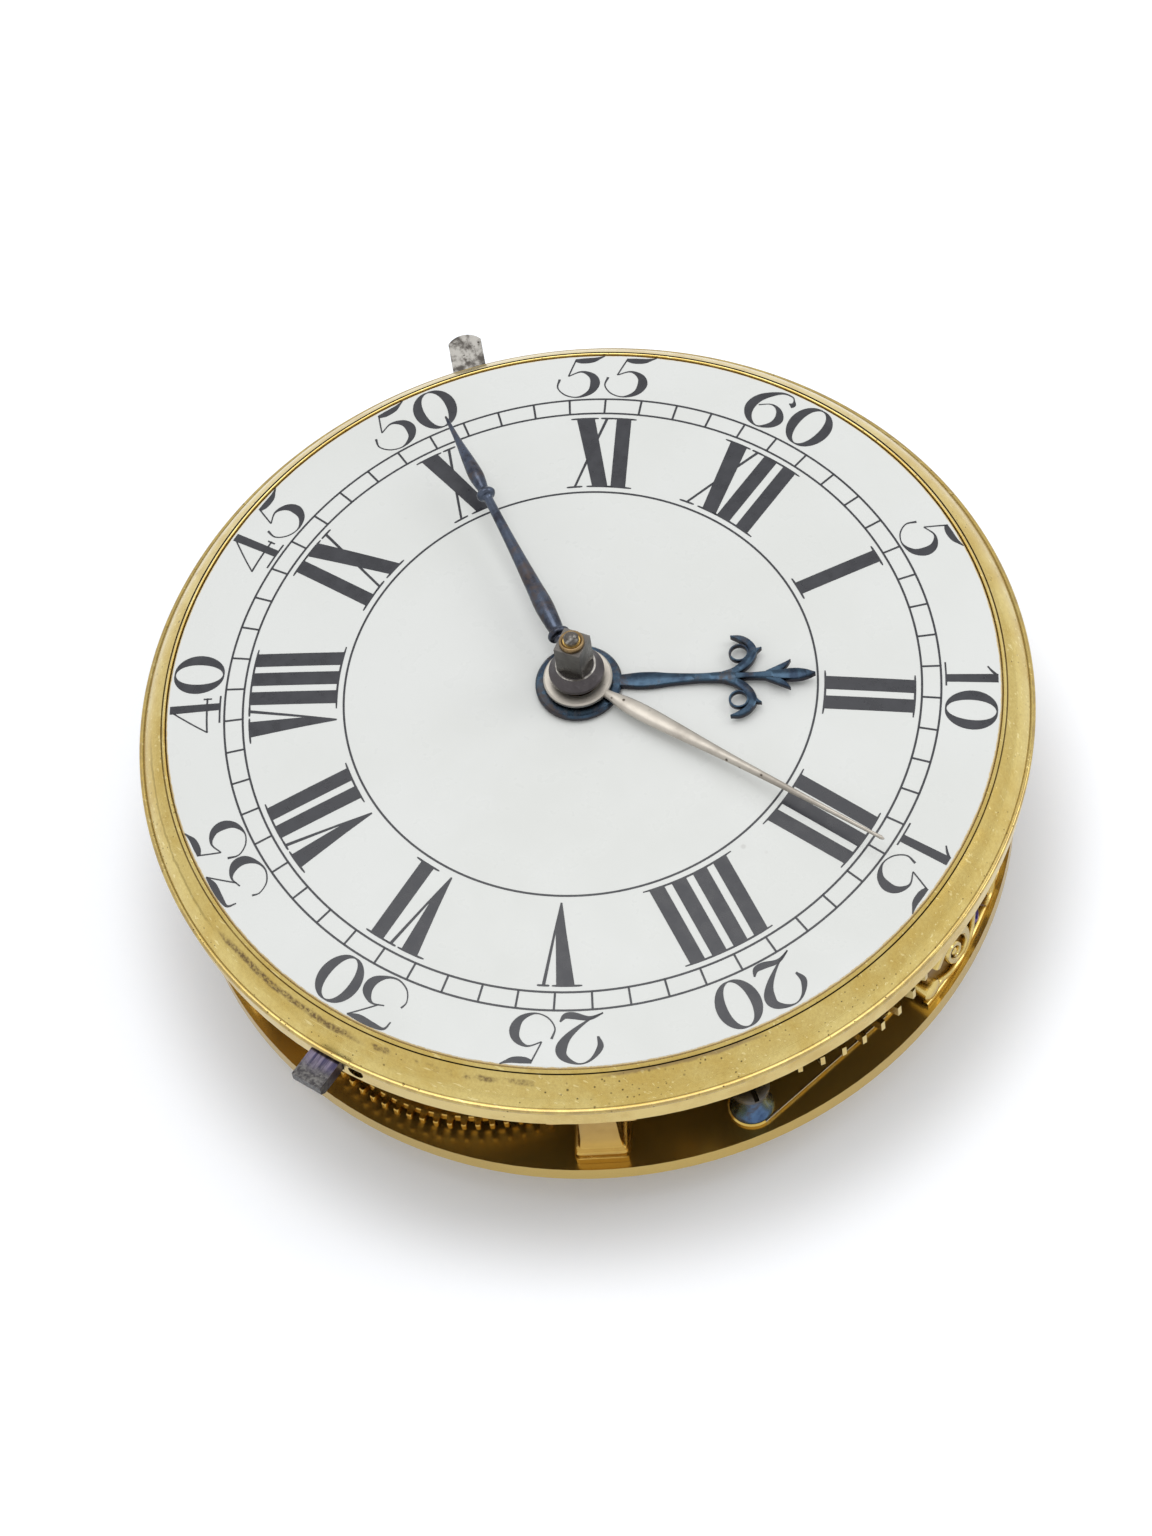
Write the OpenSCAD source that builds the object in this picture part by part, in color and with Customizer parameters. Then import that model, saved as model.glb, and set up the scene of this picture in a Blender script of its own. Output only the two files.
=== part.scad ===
// Pocket watch movement: full plate, fusee and chain, cylinder escapement, centre seconds.
// Origin on the centre arbor, at the dial-side face of the pillar plate.
// +Z points out of the dial, +Y points to XII and +X to III. Millimetres.

/* [Frame plates] */
// Radius of the pillar plate, under the dial: the plan of the whole movement follows it
pillar_plate_r = 21.2; // [20:0.1:22.5]
// Thickness of the pillar plate
pillar_plate_t = 1.15; // [1.15:0.05:1.6]
// Step from the pillar plate's edge in to the top plate's edge
top_plate_step = 1; // [0.8:0.1:1.4]
// Thickness of the top plate
top_plate_t = 0.9; // [0.7:0.05:1.2]
// Height of the pillars between the plates
pillar_h = 6.65; // [6.65:0.05:8]

/* [Pillars] */
// Distance of the pillars from the pillar plate's edge
pillar_inset = 2.65; // [2.5:0.05:2.8]
// Width of the square shaft at its waist
pillar_waist_w = 1.8; // [1.4:0.05:1.9]
// Depth of the hollow in each face of the shaft
pillar_hollow = 0.2; // [0.1:0.05:0.3]
// Width of the square foot on the top plate
pillar_foot_w = 2.6; // [2.4:0.05:2.7]
// Height of the square foot
pillar_foot_h = 0.5; // [0.3:0.05:0.6]
// Width of the flange under the pillar plate
pillar_flange_w = 4.2; // [3:0.1:4.4]
// Thickness of the flange
pillar_flange_t = 0.35; // [0.25:0.05:0.5]
// Radius of the tenon at each end
tenon_r = 0.75; // [0.6:0.05:0.9]
// Radius of the tapered cross pins
cross_pin_r = 0.22; // [0.15:0.01:0.3]

/* [Dial and brass edge] */
// Overhang of the brass edge beyond the pillar plate
edge_overhang = 0.18; // [0.1:0.02:0.3]
// Thickness of the dial
dial_t = 0.7; // [0.5:0.05:0.8]
// Rise of the dial's dome
dial_dome = 1; // [0.9:0.05:1.3]
// Height of the dial's edge above the pillar plate
dial_edge_z = 1.7; // [1.7:0.05:2]
// Radius of the hole for the hands
dial_hole_r = 1.65; // [1.6:0.05:1.8]
// Gap between the dial and the brass edge around it
dial_gap = 0.03; // [0.02:0.01:0.1]
// Width of the thin lip around the dial
edge_lip_w = 0.14; // [0.1:0.02:0.3]
// Width of the dark line outside the lip
edge_line_w = 0.06; // [0.05:0.01:0.2]
// Depth of the dark line
edge_line_d = 0.3; // [0.2:0.05:0.5]
// Width of the sloping band
edge_band_w = 1.04; // [0.8:0.02:1.2]
// Width of the fillet at the foot of the band
edge_fillet_w = 0.22; // [0.1:0.02:0.3]
// Height of that fillet
edge_fillet_h = 0.26; // [0.2:0.02:0.4]
// Width of the shelf that carries the dial
edge_shelf_w = 0.95; // [0.6:0.05:1.2]

/* [Going train] */
// Module of the great wheel and the centre pinion
great_m = 0.341; // [0.335:0.001:0.342]
// Module of the centre wheel and the third pinion
centre_m = 0.22; // [0.215:0.005:0.22]
// Module of the third wheel and the fourth pinion
third_m = 0.2; // [0.195:0.005:0.2]
// Module of the fourth wheel and the escape pinion
fourth_m = 0.18; // [0.175:0.005:0.18]
// Radius of the escape wheel
escape_r = 3.6; // [3.4:0.05:3.7]
// Thickness of the great wheel
great_t = 0.7; // [0.5:0.05:0.8]
// Thickness of the other wheels
wheel_t = 0.4; // [0.3:0.05:0.5]
// Radius of an arbor
arbor_r = 0.5; // [0.4:0.05:0.6]
// Radius of a pivot
pivot_r = 0.25; // [0.2:0.01:0.3]
// Running clearance around pivots and pipes
run = 0.05; // [0.03:0.01:0.08]

/* [Mainspring, fusee and chain] */
// Outer radius of the barrel
barrel_r = 7.2; // [6.8:0.1:7.2]
// Height of the barrel
barrel_h = 2.7; // [2.4:0.05:2.7]
// Thickness of the barrel's wall, floor and cover
barrel_wall = 0.5; // [0.4:0.05:0.6]
// Thickness of the mainspring
mainspring_t = 0.18; // [0.12:0.01:0.2]
// Pitch of the mainspring's turns
mainspring_pitch = 0.62; // [0.61:0.01:0.8]
// Radius of the fusee at the great wheel
fusee_r = 4.4; // [4:0.05:4.5]
// Radius of the fusee at its small end
fusee_tip_r = 2.2; // [2:0.05:2.6]
// Height of the fusee
fusee_h = 3.3; // [3:0.05:3.3]
// Depth of the fusee's grooves
groove_d = 0.16; // [0.1:0.02:0.2]
// Height of the chain
chain_h = 0.55; // [0.4:0.05:0.55]
// Thickness of the chain
chain_t = 0.3; // [0.2:0.02:0.32]
// Rise of the chain for each turn
chain_pitch = 1; // [1:0.05:1.1]
// Turns of chain on the barrel
barrel_turns = 1.1; // [0.8:0.05:1.2]
// Turns of chain on the fusee
fusee_turns = 1.1; // [0.8:0.05:1.2]
// Across the flats of the winding square
winding_square = 1.5; // [1.2:0.05:1.8]
// Length of the winding square behind the top plate
winding_square_l = 2.6; // [2:0.1:3]
// Outer radius of the set-up wheel on the barrel arbor
setup_r = 8.7; // [8.4:0.05:8.7]
// Teeth of the set-up wheel
setup_n = 80; // [72:2:84]

/* [Balance] */
// Outer radius of the balance
balance_r = 8.4; // [8:0.05:8.4]
// Width of the balance's rim
balance_rim_w = 0.7; // [0.5:0.05:0.9]
// Thickness of the balance
balance_t = 0.45; // [0.35:0.05:0.5]
// Outer radius of the cylinder
cylinder_r = 0.45; // [0.4:0.01:0.5]
// Wall of the cylinder
cylinder_wall = 0.12; // [0.1:0.01:0.15]
// Thickness of the balance spring
hairspring_t = 0.16; // [0.1:0.01:0.18]
// Pitch of the balance spring's turns
hairspring_pitch = 0.62; // [0.6:0.01:0.7]
// Turns of the balance spring
hairspring_turns = 5; // [4:0.5:5]
// Radius of the cock's round table
cock_r = 7.4; // [7:0.1:7.8]
// Thickness of the cock
cock_t = 0.6; // [0.5:0.05:0.8]

/* [Motion work and hands] */
// Module of the cannon pinion and the minute wheel
cannon_m = 0.2; // [0.195:0.005:0.205]
// Module of the wheels that drive the seconds hand
seconds_m = 0.18; // [0.175:0.005:0.18]
// Thickness of the wheels under the dial
motion_t = 0.3; // [0.25:0.05:0.35]
// Gap between the layers of wheels under the dial
motion_gap = 0.16; // [0.12:0.02:0.18]
// Length of the hour hand
hour_hand_l = 11.1; // [10:0.1:12]
// Length of the minute hand
minute_hand_l = 16.15; // [15.5:0.05:17.5]
// Length of the seconds hand
seconds_hand_l = 17; // [15:0.1:18]
// Thickness of the hour hand
hour_hand_t = 0.33; // [0.2:0.01:0.36]
// Thickness of the seconds hand's boss
seconds_boss_t = 0.3; // [0.2:0.02:0.32]
// Clock angle of the hour hand
hour_angle = 56.6; // [0:0.1:360]
// Clock angle of the minute hand
minute_angle = 302.6; // [0:0.1:360]
// Clock angle of the seconds hand
seconds_angle = 89.9; // [0:0.1:360]
// Across the flats of the hand-setting square
hand_square = 1.3; // [1.2:0.05:1.4]
// Height of the hand-setting square above the minute hand
hand_square_h = 1.85; // [1.5:0.05:2.2]

/* [Bolt, stop lever and case joint] */
// Width of the bolt that locks the movement in its case
bolt_w = 1.6; // [1.2:0.05:1.9]
// Thickness of the bolt
bolt_t = 0.8; // [0.6:0.05:0.85]
// How far the bolt stands out of the pillar plate
bolt_out = 1.7; // [1:0.1:2.6]
// Travel of the bolt
bolt_travel = 1.4; // [1:0.1:1.5]
// Width of the stop lever's finger piece
lever_w = 1.65; // [1.4:0.05:2]
// Thickness of the stop lever
lever_t = 0.4; // [0.3:0.05:0.5]
// How far the finger piece stands out of the pillar plate
lever_out = 2.45; // [1.5:0.05:2.8]
// Clock angle of the stop lever's pivot
lever_angle = 307.8; // [307:0.1:309]
// Turn of the stop lever away from the radius through its pivot
lever_skew = 9; // [6:0.5:10]
// Radius of the case joint's knuckle
knuckle_r = 0.5; // [0.45:0.01:0.55]
// Radius of the case joint's bore
knuckle_bore_r = 0.3; // [0.2:0.01:0.32]
// Length of the case joint's knuckle
knuckle_l = 4; // [3:0.1:5]

/* [Hidden] */
$fn = 64;

// Small allowance so that cuts pass right through
eps = 0.02;
// Clearance of pieces that are assembled and stay put
fit = 0.02;
// End shake between a shoulder and its plate
shake = 0.1;

// Heights of the plates
inner_z = -pillar_plate_t;
top_z = inner_z - pillar_h;
back_z = top_z - top_plate_t;

// Radii of the plates and of the brass edge, inwards from its outside
edge_r = pillar_plate_r + edge_overhang;
band_out_r = edge_r - edge_fillet_w;
band_r = band_out_r - edge_band_w;
line_r = band_r - edge_line_w;
lip_in_r = line_r - edge_lip_w;
dial_r = lip_in_r - dial_gap;
top_plate_r = pillar_plate_r - top_plate_step;
pillar_ring_r = pillar_plate_r - pillar_inset;
// Radius of the room under the dial, inside the shelf
room_r = lip_in_r - edge_shelf_w;

// Sizes of the train and the balance in plan, which are drawn for this plate and follow it
drawn_plate_r = 21.2;
plan = pillar_plate_r / drawn_plate_r;
great_mod = great_m * plan;
centre_mod = centre_m * plan;
third_mod = third_m * plan;
fourth_mod = fourth_m * plan;
cannon_mod = cannon_m * plan;
seconds_mod = seconds_m * plan;
escape_out_r = escape_r * plan;
barrel_out_r = barrel_r * plan;
barrel_d = 10.89 * plan;
fusee_big_r = fusee_r * plan;
fusee_small_r = fusee_tip_r * plan;
setup_out_r = setup_r * plan;
balance_out_r = balance_r * plan;
cock_table_r = cock_r * plan;

// Point at a clock angle and a distance from the centre
function pol(angle, d) = [d * sin(angle), d * cos(angle)];
// Ordinary angle of the line from a to b
function heading(a, b) = atan2(b[1] - a[1], b[0] - a[0]);

// Teeth of the train, which give the seconds hand sixty turns for one of the centre arbor
great_n = 54;
centre_pinion_n = 12;
centre_n = 64;
third_pinion_n = 8;
third_n = 60;
fourth_pinion_n = 8;
fourth_n = 54;
escape_pinion_n = 6;
escape_n = 15;
// Teeth under the dial
cannon_n = 12;
minute_n = 36;
minute_pinion_n = 10;
hour_n = 40;
seconds_n = 30;
idler_n = 24;

// Places of the arbors
function mesh_d(m, a, b) = m * (a + b) / 2;
fusee_p = pol(105, mesh_d(great_mod, great_n, centre_pinion_n));
barrel_p = pol(176.3, barrel_d);
third_p = pol(273.5, mesh_d(centre_mod, centre_n, third_pinion_n));
fourth_p = third_p + pol(24, mesh_d(third_mod, third_n, fourth_pinion_n));
escape_p = fourth_p + pol(70, mesh_d(fourth_mod, fourth_n, escape_pinion_n));
balance_p = escape_p + pol(95, escape_out_r + eps);
minute_p = pol(90, mesh_d(cannon_mod, cannon_n, minute_n));
hour_m = 2 * norm(minute_p) / (hour_n + minute_pinion_n);
idler_d = mesh_d(seconds_mod, seconds_n, idler_n);
idler_half = norm(fourth_p) / 2;
idler_turn = acos(idler_half / idler_d);
fourth_heading = atan2(fourth_p[1], fourth_p[0]);
idler_p = idler_d * [cos(fourth_heading + idler_turn), sin(fourth_heading + idler_turn)];
origin = [0, 0];

// Levels between the plates, downwards from the pillar plate
centre_z = inner_z - 0.45 - wheel_t;
great_z = inner_z - 1.75 - great_t;
fourth_z = great_z + 0.2;
third_z = great_z - 2;
escape_z = top_z + 0.9;
fusee_top_z = great_z - shake;
setup_z = top_z + 0.5;
setup_t = 0.4;
barrel_z = setup_z + setup_t + 0.3;

// Levels under the dial, upwards from the pillar plate
cannon_z = 0.1;
seconds_z = cannon_z + motion_t + motion_gap;
hour_z = seconds_z + motion_t + motion_gap;
dial_top_z = dial_edge_z + dial_dome;
hour_hand_z = dial_top_z + 0.08;
seconds_hand_z = hour_hand_z + hour_hand_t + 0.14;
minute_boss_z = seconds_hand_z + seconds_boss_t + 0.35;
minute_boss_h = 0.7;
square_z = minute_boss_z + minute_boss_h;
square_top_z = square_z + hand_square_h;

// Pipes at the centre, each inside the next
nose_r = 0.36;
cannon_r = 0.8;
seconds_pipe_r = 1.12;
hour_pipe_r = 1.42;

// Levels behind the top plate, downwards
regulator_t = 0.24;
regulator_z = back_z - fit - regulator_t;
hairspring_h = 0.35;
hairspring_z = regulator_z - hairspring_h - 0.1;
balance_z = hairspring_z - balance_t - 0.35;
cock_z = balance_z - cock_t - 0.75;
foot_r = top_plate_r - 0.3;
foot_in_r = norm(balance_p) + balance_out_r + 0.3;
foot_w = 8;
balance_angle = atan2(balance_p[0], balance_p[1]);
hairspring_r0 = 1.25;
hairspring_r1 = hairspring_r0 + hairspring_pitch * hairspring_turns;
collet_r = 1;

// Clock angles of the four pillars and of the dial's three feet
pillar_angles = [50, 145.4, 206, 300];
dial_foot_angles = [15, 130, 250];
dial_foot_d = dial_r - 3.1;
dial_foot_r = 0.5;

gilt = [0.83, 0.7, 0.36];
brass = [0.76, 0.6, 0.28];
steel = [0.62, 0.62, 0.63];
blued = [0.16, 0.24, 0.46];
enamel = [0.92, 0.92, 0.9];
ruby = [0.7, 0.12, 0.2];

// Phase that sets gear b in mesh with gear a, which lies at the given heading from a
function mesh_phase(phase_a, n_a, n_b, turn) = turn + 180 + 180 / n_b - (phase_a - turn) * n_a / n_b;

// Outline of a toothed wheel: straight-sided teeth, with widths as shares of the pitch
wheel_form = [0.85, 1.25, 0.27, 0.1];
leaf_form = [0.75, 1.3, 0.22, 0.1];
function tip_r(n, m, form) = m * n / 2 + form[0] * m;
function root_r(n, m, form) = m * n / 2 - form[1] * m;
function at(r, a) = [r * cos(a), r * sin(a)];
function teeth(n, m, form) = [
  for (k = [0 : n - 1])
    for (corner = [[0, -1], [1, -1], [1, 1], [0, 1]])
      at(
        corner[0] == 0 ? root_r(n, m, form) : tip_r(n, m, form),
        (k + corner[1] * form[corner[0] == 0 ? 2 : 3]) * 360 / n
      )
];

module gear(n, m, t, phase, form = wheel_form) {
  rotate([0, 0, phase])
    linear_extrude(t)
      polygon(teeth(n, m, form));
}

module disc(r, z0, z1) {
  translate([0, 0, z0])
    cylinder(r = r, h = z1 - z0);
}

module at_point(p, z = 0) {
  translate([p[0], p[1], z])
    children();
}

// Turns +Y to a clock angle
module clock(angle) {
  rotate([0, 0, -angle])
    children();
}

// Window between the spokes of a wheel
function window(r0, r1, spoke_w, span, steps = 8) = concat(
  [for (i = [0 : steps]) at(r1, asin(spoke_w / 2 / r1) + (span - 2 * asin(spoke_w / 2 / r1)) * i / steps)],
  [for (i = [0 : steps]) at(r0, span - asin(spoke_w / 2 / r0) - (span - 2 * asin(spoke_w / 2 / r0)) * i / steps)]
);

module crossings(count, r0, r1, spoke_w, t) {
  for (k = [0 : count - 1])
    rotate([0, 0, k * 360 / count])
      translate([0, 0, -eps])
        linear_extrude(t + 2 * eps)
          polygon(window(r0, r1, spoke_w, 360 / count));
}

// Spoked wheel with a bore
module spoked(n, m, t, phase, bore, hub, rim = 0.75, count = 4, spoke_w = 0.6) {
  difference() {
    gear(n, m, t, phase);
    crossings(count, hub, root_r(n, m, wheel_form) - rim, spoke_w, t);
    disc(bore, -eps, t + eps);
  }
}

// Steel arbor with a pivot in each plate
module arbor(r, piv = pivot_r) {
  disc(r, top_z + shake, inner_z - shake);
  disc(piv, back_z + shake, -shake);
}

// Slotted screw, with its head's underside at height 0 and its shank downwards
module screw(head_r, head_h, shank_r, shank_l, slot_w = 0.22) {
  difference() {
    union() {
      cylinder(r = head_r, h = head_h);
      disc(shank_r, -shank_l, eps);
    }
    translate([-head_r - eps, -slot_w / 2, head_h * 0.55])
      cube([2 * head_r + 2 * eps, slot_w, head_h]);
  }
}

// Plates and pillars
module pillar_holes(r) {
  for (a = pillar_angles)
    at_point(pol(a, pillar_ring_r), 0)
      disc(r, back_z - 1, 1);
}

// Slot of the bolt and well of the stop lever, in the dial side of the pillar plate
bolt_reach = pillar_plate_r + bolt_out;
bolt_inner_y = room_r - 2.57;
bolt_slot_gap = 0.05;
bolt_floor_z = -bolt_t - 2 * bolt_slot_gap;
bolt_recess_x = 1.5;
bolt_recess_r = 0.4;
bolt_recess_l = 2;
lever_pivot_d = pillar_plate_r - 5.7;
lever_p = pol(lever_angle, lever_pivot_d);
lever_z = -lever_t - 0.1;
lever_pivot_r = 0.6;
lever_head_r = 1.1;
lever_swing = 6;
lever_dir = lever_angle + lever_skew;
lever_side = lever_pivot_d * sin(lever_skew);
lever_out_l = sqrt(pow(pillar_plate_r + lever_out, 2) - pow(lever_side, 2)) - lever_pivot_d * cos(lever_skew);
lever_well_gap = 0.3;

module bolt_slot() {
  inner = bolt_inner_y - bolt_travel - bolt_slot_gap;
  translate([-bolt_w / 2 - bolt_slot_gap, -pillar_plate_r - 1, bolt_floor_z])
    cube([bolt_w + 2 * bolt_slot_gap, pillar_plate_r + 1 - inner, 2]);
  translate([bolt_recess_x, -pillar_plate_r + bolt_recess_l, -pillar_plate_t / 2])
    rotate([90, 0, 0])
      cylinder(r = bolt_recess_r, h = bolt_recess_l + 1);
}

module lever_well() {
  side = lever_w / 2 + lever_well_gap;
  reach = pillar_plate_r - lever_pivot_d + 1;
  inner = tail_post_r - tail_post_y + lever_well_gap;
  sweep = reach * tan(lever_swing);
  at_point(lever_p, lever_z - lever_well_gap / 3)
    clock(lever_dir)
      linear_extrude(2)
        polygon([[side, -inner], [side, reach], [-side - sweep, reach], [-side - sweep / 3, -inner]]);
}

// Notch for the case joint at XII
joint_y = pillar_plate_r - 0.05;
joint_notch_w = knuckle_l + 2 * 2.2;
joint_notch_y = joint_y - knuckle_r - 0.1;

stud_sink = 0.6;
stud_r = 0.3;
centre_pivot_r = 0.6;

module pillar_plate() {
  color(gilt)
    difference() {
      disc(pillar_plate_r, inner_z, 0);
      pillar_holes(tenon_r + fit);
      disc(centre_pivot_r + run, inner_z - eps, eps);
      for (p = [third_p, escape_p])
        at_point(p)
          disc(pivot_r + run, inner_z - eps, eps);
      at_point(fourth_p)
        disc(fourth_nose_r + run, inner_z - eps, eps);
      at_point(fusee_p)
        disc(fusee_pivot_r + run, inner_z - eps, eps);
      at_point(barrel_p)
        disc(barrel_pivot_r + fit, inner_z - eps, eps);
      for (p = [idler_p, minute_p])
        at_point(p)
          disc(stud_r + fit, -stud_sink - fit, eps);
      for (a = dial_foot_angles)
        at_point(pol(a, dial_foot_d))
          disc(dial_foot_r + fit, inner_z - eps, eps);
      at_point(spring_screw_p)
        disc(small_shank_r + fit, -stud_sink - fit, eps);
      at_point(lever_p)
        disc(small_shank_r + fit, inner_z - eps, eps);
      bolt_slot();
      lever_well();
      translate([-joint_notch_w / 2, joint_notch_y, inner_z - eps])
        cube([joint_notch_w, 2, pillar_plate_t + 2 * eps]);
    }
}

staff_hole_r = 1.3;
small_shank_r = 0.45;
cock_screw_shank_r = 0.6;
stud_block_r = 0.4;
bracket_shank_r = 0.3;

module top_plate() {
  color(gilt)
    difference() {
      disc(top_plate_r, back_z, top_z);
      pillar_holes(tenon_r + fit);
      for (p = [origin, third_p, fourth_p, escape_p])
        at_point(p)
          disc(pivot_r + run, back_z - eps, top_z + eps);
      at_point(fusee_p)
        disc(fusee_pivot_r + run, back_z - eps, top_z + eps);
      at_point(barrel_p)
        disc(barrel_pivot_r + fit, back_z - eps, top_z + eps);
      at_point(balance_p)
        disc(staff_hole_r, back_z - eps, top_z + eps);
      at_point(cock_screw_p)
        disc(cock_screw_shank_r + fit, back_z - eps, top_z + eps);
      at_point(spring_stud_p)
        disc(stud_block_r / 2 + fit, back_z - eps, top_z + eps);
      for (p = concat([potence_post_p, stop_screw_p], bar_screw_points))
        at_point(p)
          disc(small_shank_r + fit, back_z - eps, top_z + eps);
      at_point(bracket_screw_p)
        disc(bracket_shank_r + fit, back_z - eps, top_z + eps);
    }
}

pin_drop = 0.35;
flange_gap = 0.2;
tenon_l = top_plate_t + 1.1;
pin_l = 3.6;

// Square baluster with four hollowed faces, a flange above and a stepped foot
module pillar() {
  shaft_w = pillar_waist_w + 2 * pillar_hollow;
  step_h = pillar_foot_h * 0.8;
  shaft_z0 = top_z + pillar_foot_h + step_h;
  shaft_h = inner_z - pillar_flange_t - shaft_z0;
  hollow_r = (shaft_h * shaft_h / 4 + pillar_hollow * pillar_hollow) / (2 * pillar_hollow);
  step_w = (pillar_foot_w + shaft_w) / 2;
  flange_l = pillar_foot_w / 2 + pillar_inset - flange_gap;
  translate([-pillar_flange_w / 2, -pillar_foot_w / 2, inner_z - pillar_flange_t])
    cube([pillar_flange_w, flange_l, pillar_flange_t]);
  translate([-pillar_foot_w / 2, -pillar_foot_w / 2, top_z])
    cube([pillar_foot_w, pillar_foot_w, pillar_foot_h]);
  translate([-step_w / 2, -step_w / 2, top_z + pillar_foot_h])
    cube([step_w, step_w, step_h]);
  difference() {
    translate([-shaft_w / 2, -shaft_w / 2, shaft_z0])
      cube([shaft_w, shaft_w, shaft_h]);
    for (k = [0 : 3])
      rotate([0, 0, 90 * k])
        translate([shaft_w / 2 - pillar_hollow + hollow_r, shaft_w, shaft_z0 + shaft_h / 2])
          rotate([90, 0, 0])
            cylinder(r = hollow_r, h = 2 * shaft_w, $fn = 128);
  }
  disc(tenon_r, inner_z - eps, -fit);
  difference() {
    disc(tenon_r, top_z - tenon_l, top_z + eps);
    translate([0, 0, back_z - pin_drop])
      rotate([0, 90, 0])
        cylinder(r = cross_pin_r + fit, h = 4 * tenon_r, center = true);
  }
}

module pillars() {
  color(gilt)
    for (a = pillar_angles)
      at_point(pol(a, pillar_ring_r))
        clock(a)
          pillar();
}

module pillar_pins() {
  color(brass)
    for (a = pillar_angles)
      at_point(pol(a, pillar_ring_r), back_z - pin_drop)
        clock(a)
          rotate([0, 90, 0])
            cylinder(r = cross_pin_r, h = pin_l, center = true);
}

// Dial and brass edge
function dome_z(r) = dial_edge_z + dial_dome * (1 - pow(r / dial_r, 2));
dome_steps = 20;
dome_r = [for (i = [0 : dome_steps]) dial_hole_r + (dial_r - dial_hole_r) * i / dome_steps];
dial_foot_drop = 0.9;
dial_pin_drop = 0.45;
dial_pin_r = 0.18;
dial_pin_l = 2.6;

module dial() {
  color(enamel) {
    rotate_extrude($fn = 128)
      polygon(concat(
        [for (r = dome_r) [r, dome_z(r)]],
        [for (i = [dome_steps : -1 : 0]) [dome_r[i], dome_z(dome_r[i]) - dial_t]]
      ));
    for (a = dial_foot_angles)
      at_point(pol(a, dial_foot_d))
        difference() {
          disc(dial_foot_r, inner_z - dial_foot_drop, dome_z(dial_foot_d) - dial_t / 2);
          translate([0, 0, inner_z - dial_pin_drop])
            rotate([0, 90, -a])
              cylinder(r = dial_pin_r + fit, h = 4 * dial_foot_r, center = true);
        }
  }
}

module dial_pins() {
  color(brass)
    for (a = dial_foot_angles)
      at_point(pol(a, dial_foot_d), inner_z - dial_pin_drop)
        rotate([0, 90, -a])
          cylinder(r = dial_pin_r, h = dial_pin_l, center = true);
}

// Moulded ring: shelf, sloping lip, dark line, bowed band and fillet
lip_z = dial_edge_z + 0.02;
lip_fall = 0.1;
band_top_z = lip_z - 0.12;
shelf_z = dial_edge_z - dial_t - fit;
band_steps = 10;
band_bow = 0.1;
function band_point(s) = [
  band_r + edge_band_w * s + band_bow * sin(180 * s) * 0.6,
  band_top_z + (edge_fillet_h - band_top_z) * s + band_bow * sin(180 * s)
];

module dial_edge() {
  round_r = edge_fillet_w / 3;
  color(gilt)
    difference() {
      rotate_extrude($fn = 128)
        polygon(concat(
          [[room_r, 0], [room_r, shelf_z], [lip_in_r, shelf_z], [lip_in_r, lip_z], [line_r, lip_z - lip_fall]],
          [[line_r, lip_z - edge_line_d], [band_r, lip_z - edge_line_d]],
          [for (i = [0 : band_steps]) band_point(i / band_steps)],
          [[edge_r - round_r, edge_fillet_h], [edge_r, edge_fillet_h - round_r], [edge_r, round_r], [edge_r - round_r, 0]]
        ));
      lever_notch();
    }
}

// The stop lever lies below the ring, so the ring only needs a shallow relief over its screw
module lever_notch() {
  at_point(lever_p, -eps)
    cylinder(r = lever_head_r + 0.2, h = 0.4);
}

joint_tongue_w = 3.4;
joint_tongue_t = 0.5;
joint_tongue_l = 3.6;
joint_z = inner_z;

module case_joint() {
  color(gilt)
    difference() {
      union() {
        translate([-knuckle_l / 2, joint_y, joint_z])
          rotate([0, 90, 0])
            cylinder(r = knuckle_r, h = knuckle_l);
        translate([-joint_tongue_w / 2, joint_y - joint_tongue_l, joint_z - joint_tongue_t])
          cube([joint_tongue_w, joint_tongue_l, joint_tongue_t]);
      }
      translate([-knuckle_l, joint_y, joint_z])
        rotate([0, 90, 0])
          cylinder(r = knuckle_bore_r, h = 2 * knuckle_l);
    }
}

// Barrel, mainspring and set-up work
barrel_arbor_r = 0.8;
barrel_pivot_r = 0.55;
barrel_core_r = 1.5;
barrel_in_r = barrel_out_r - barrel_wall;
barrel_top_z = barrel_z + barrel_h;
spring_z = barrel_z + barrel_wall + shake;
spring_h = barrel_h - 2 * barrel_wall - 2 * shake;
bar_l = 13;
bar_w = 4.4;
bar_t = 1.1;
bar_z = back_z - bar_t;
bar_screw_x = 5.2;
bar_screw_points = [barrel_p - [bar_screw_x, 0], barrel_p + [bar_screw_x, 0]];
bar_head_r = 0.9;
bar_head_h = 0.35;

module barrel_drum() {
  color(brass)
    at_point(barrel_p)
      difference() {
        disc(barrel_out_r, barrel_z, barrel_top_z);
        disc(barrel_in_r, barrel_z + barrel_wall, barrel_top_z + eps);
        disc(barrel_arbor_r + run, barrel_z - eps, barrel_top_z + eps);
      }
}

module barrel_cover() {
  color(brass)
    at_point(barrel_p)
      difference() {
        disc(barrel_in_r - fit, barrel_top_z - barrel_wall, barrel_top_z);
        disc(barrel_arbor_r + run, barrel_z - eps, barrel_top_z + eps);
      }
}

module barrel_arbor() {
  color(steel)
    at_point(barrel_p) {
      disc(barrel_arbor_r, top_z, inner_z);
      disc(barrel_core_r, spring_z, spring_z + spring_h);
      disc(barrel_pivot_r, bar_z, -fit);
    }
}

// Flat spiral strip: r0 at its inner end, one pitch further out each turn
spiral_steps = 36;
function spiral_point(r0, pitch, i, side) = at(r0 + pitch * i / spiral_steps + side, 360 * i / spiral_steps);
function spiral_line(r0, pitch, turns, side) = [
  for (i = [0 : round(turns * spiral_steps)]) spiral_point(r0, pitch, i, side)
];
function backwards(points) = [for (i = [len(points) - 1 : -1 : 0]) points[i]];

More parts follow.
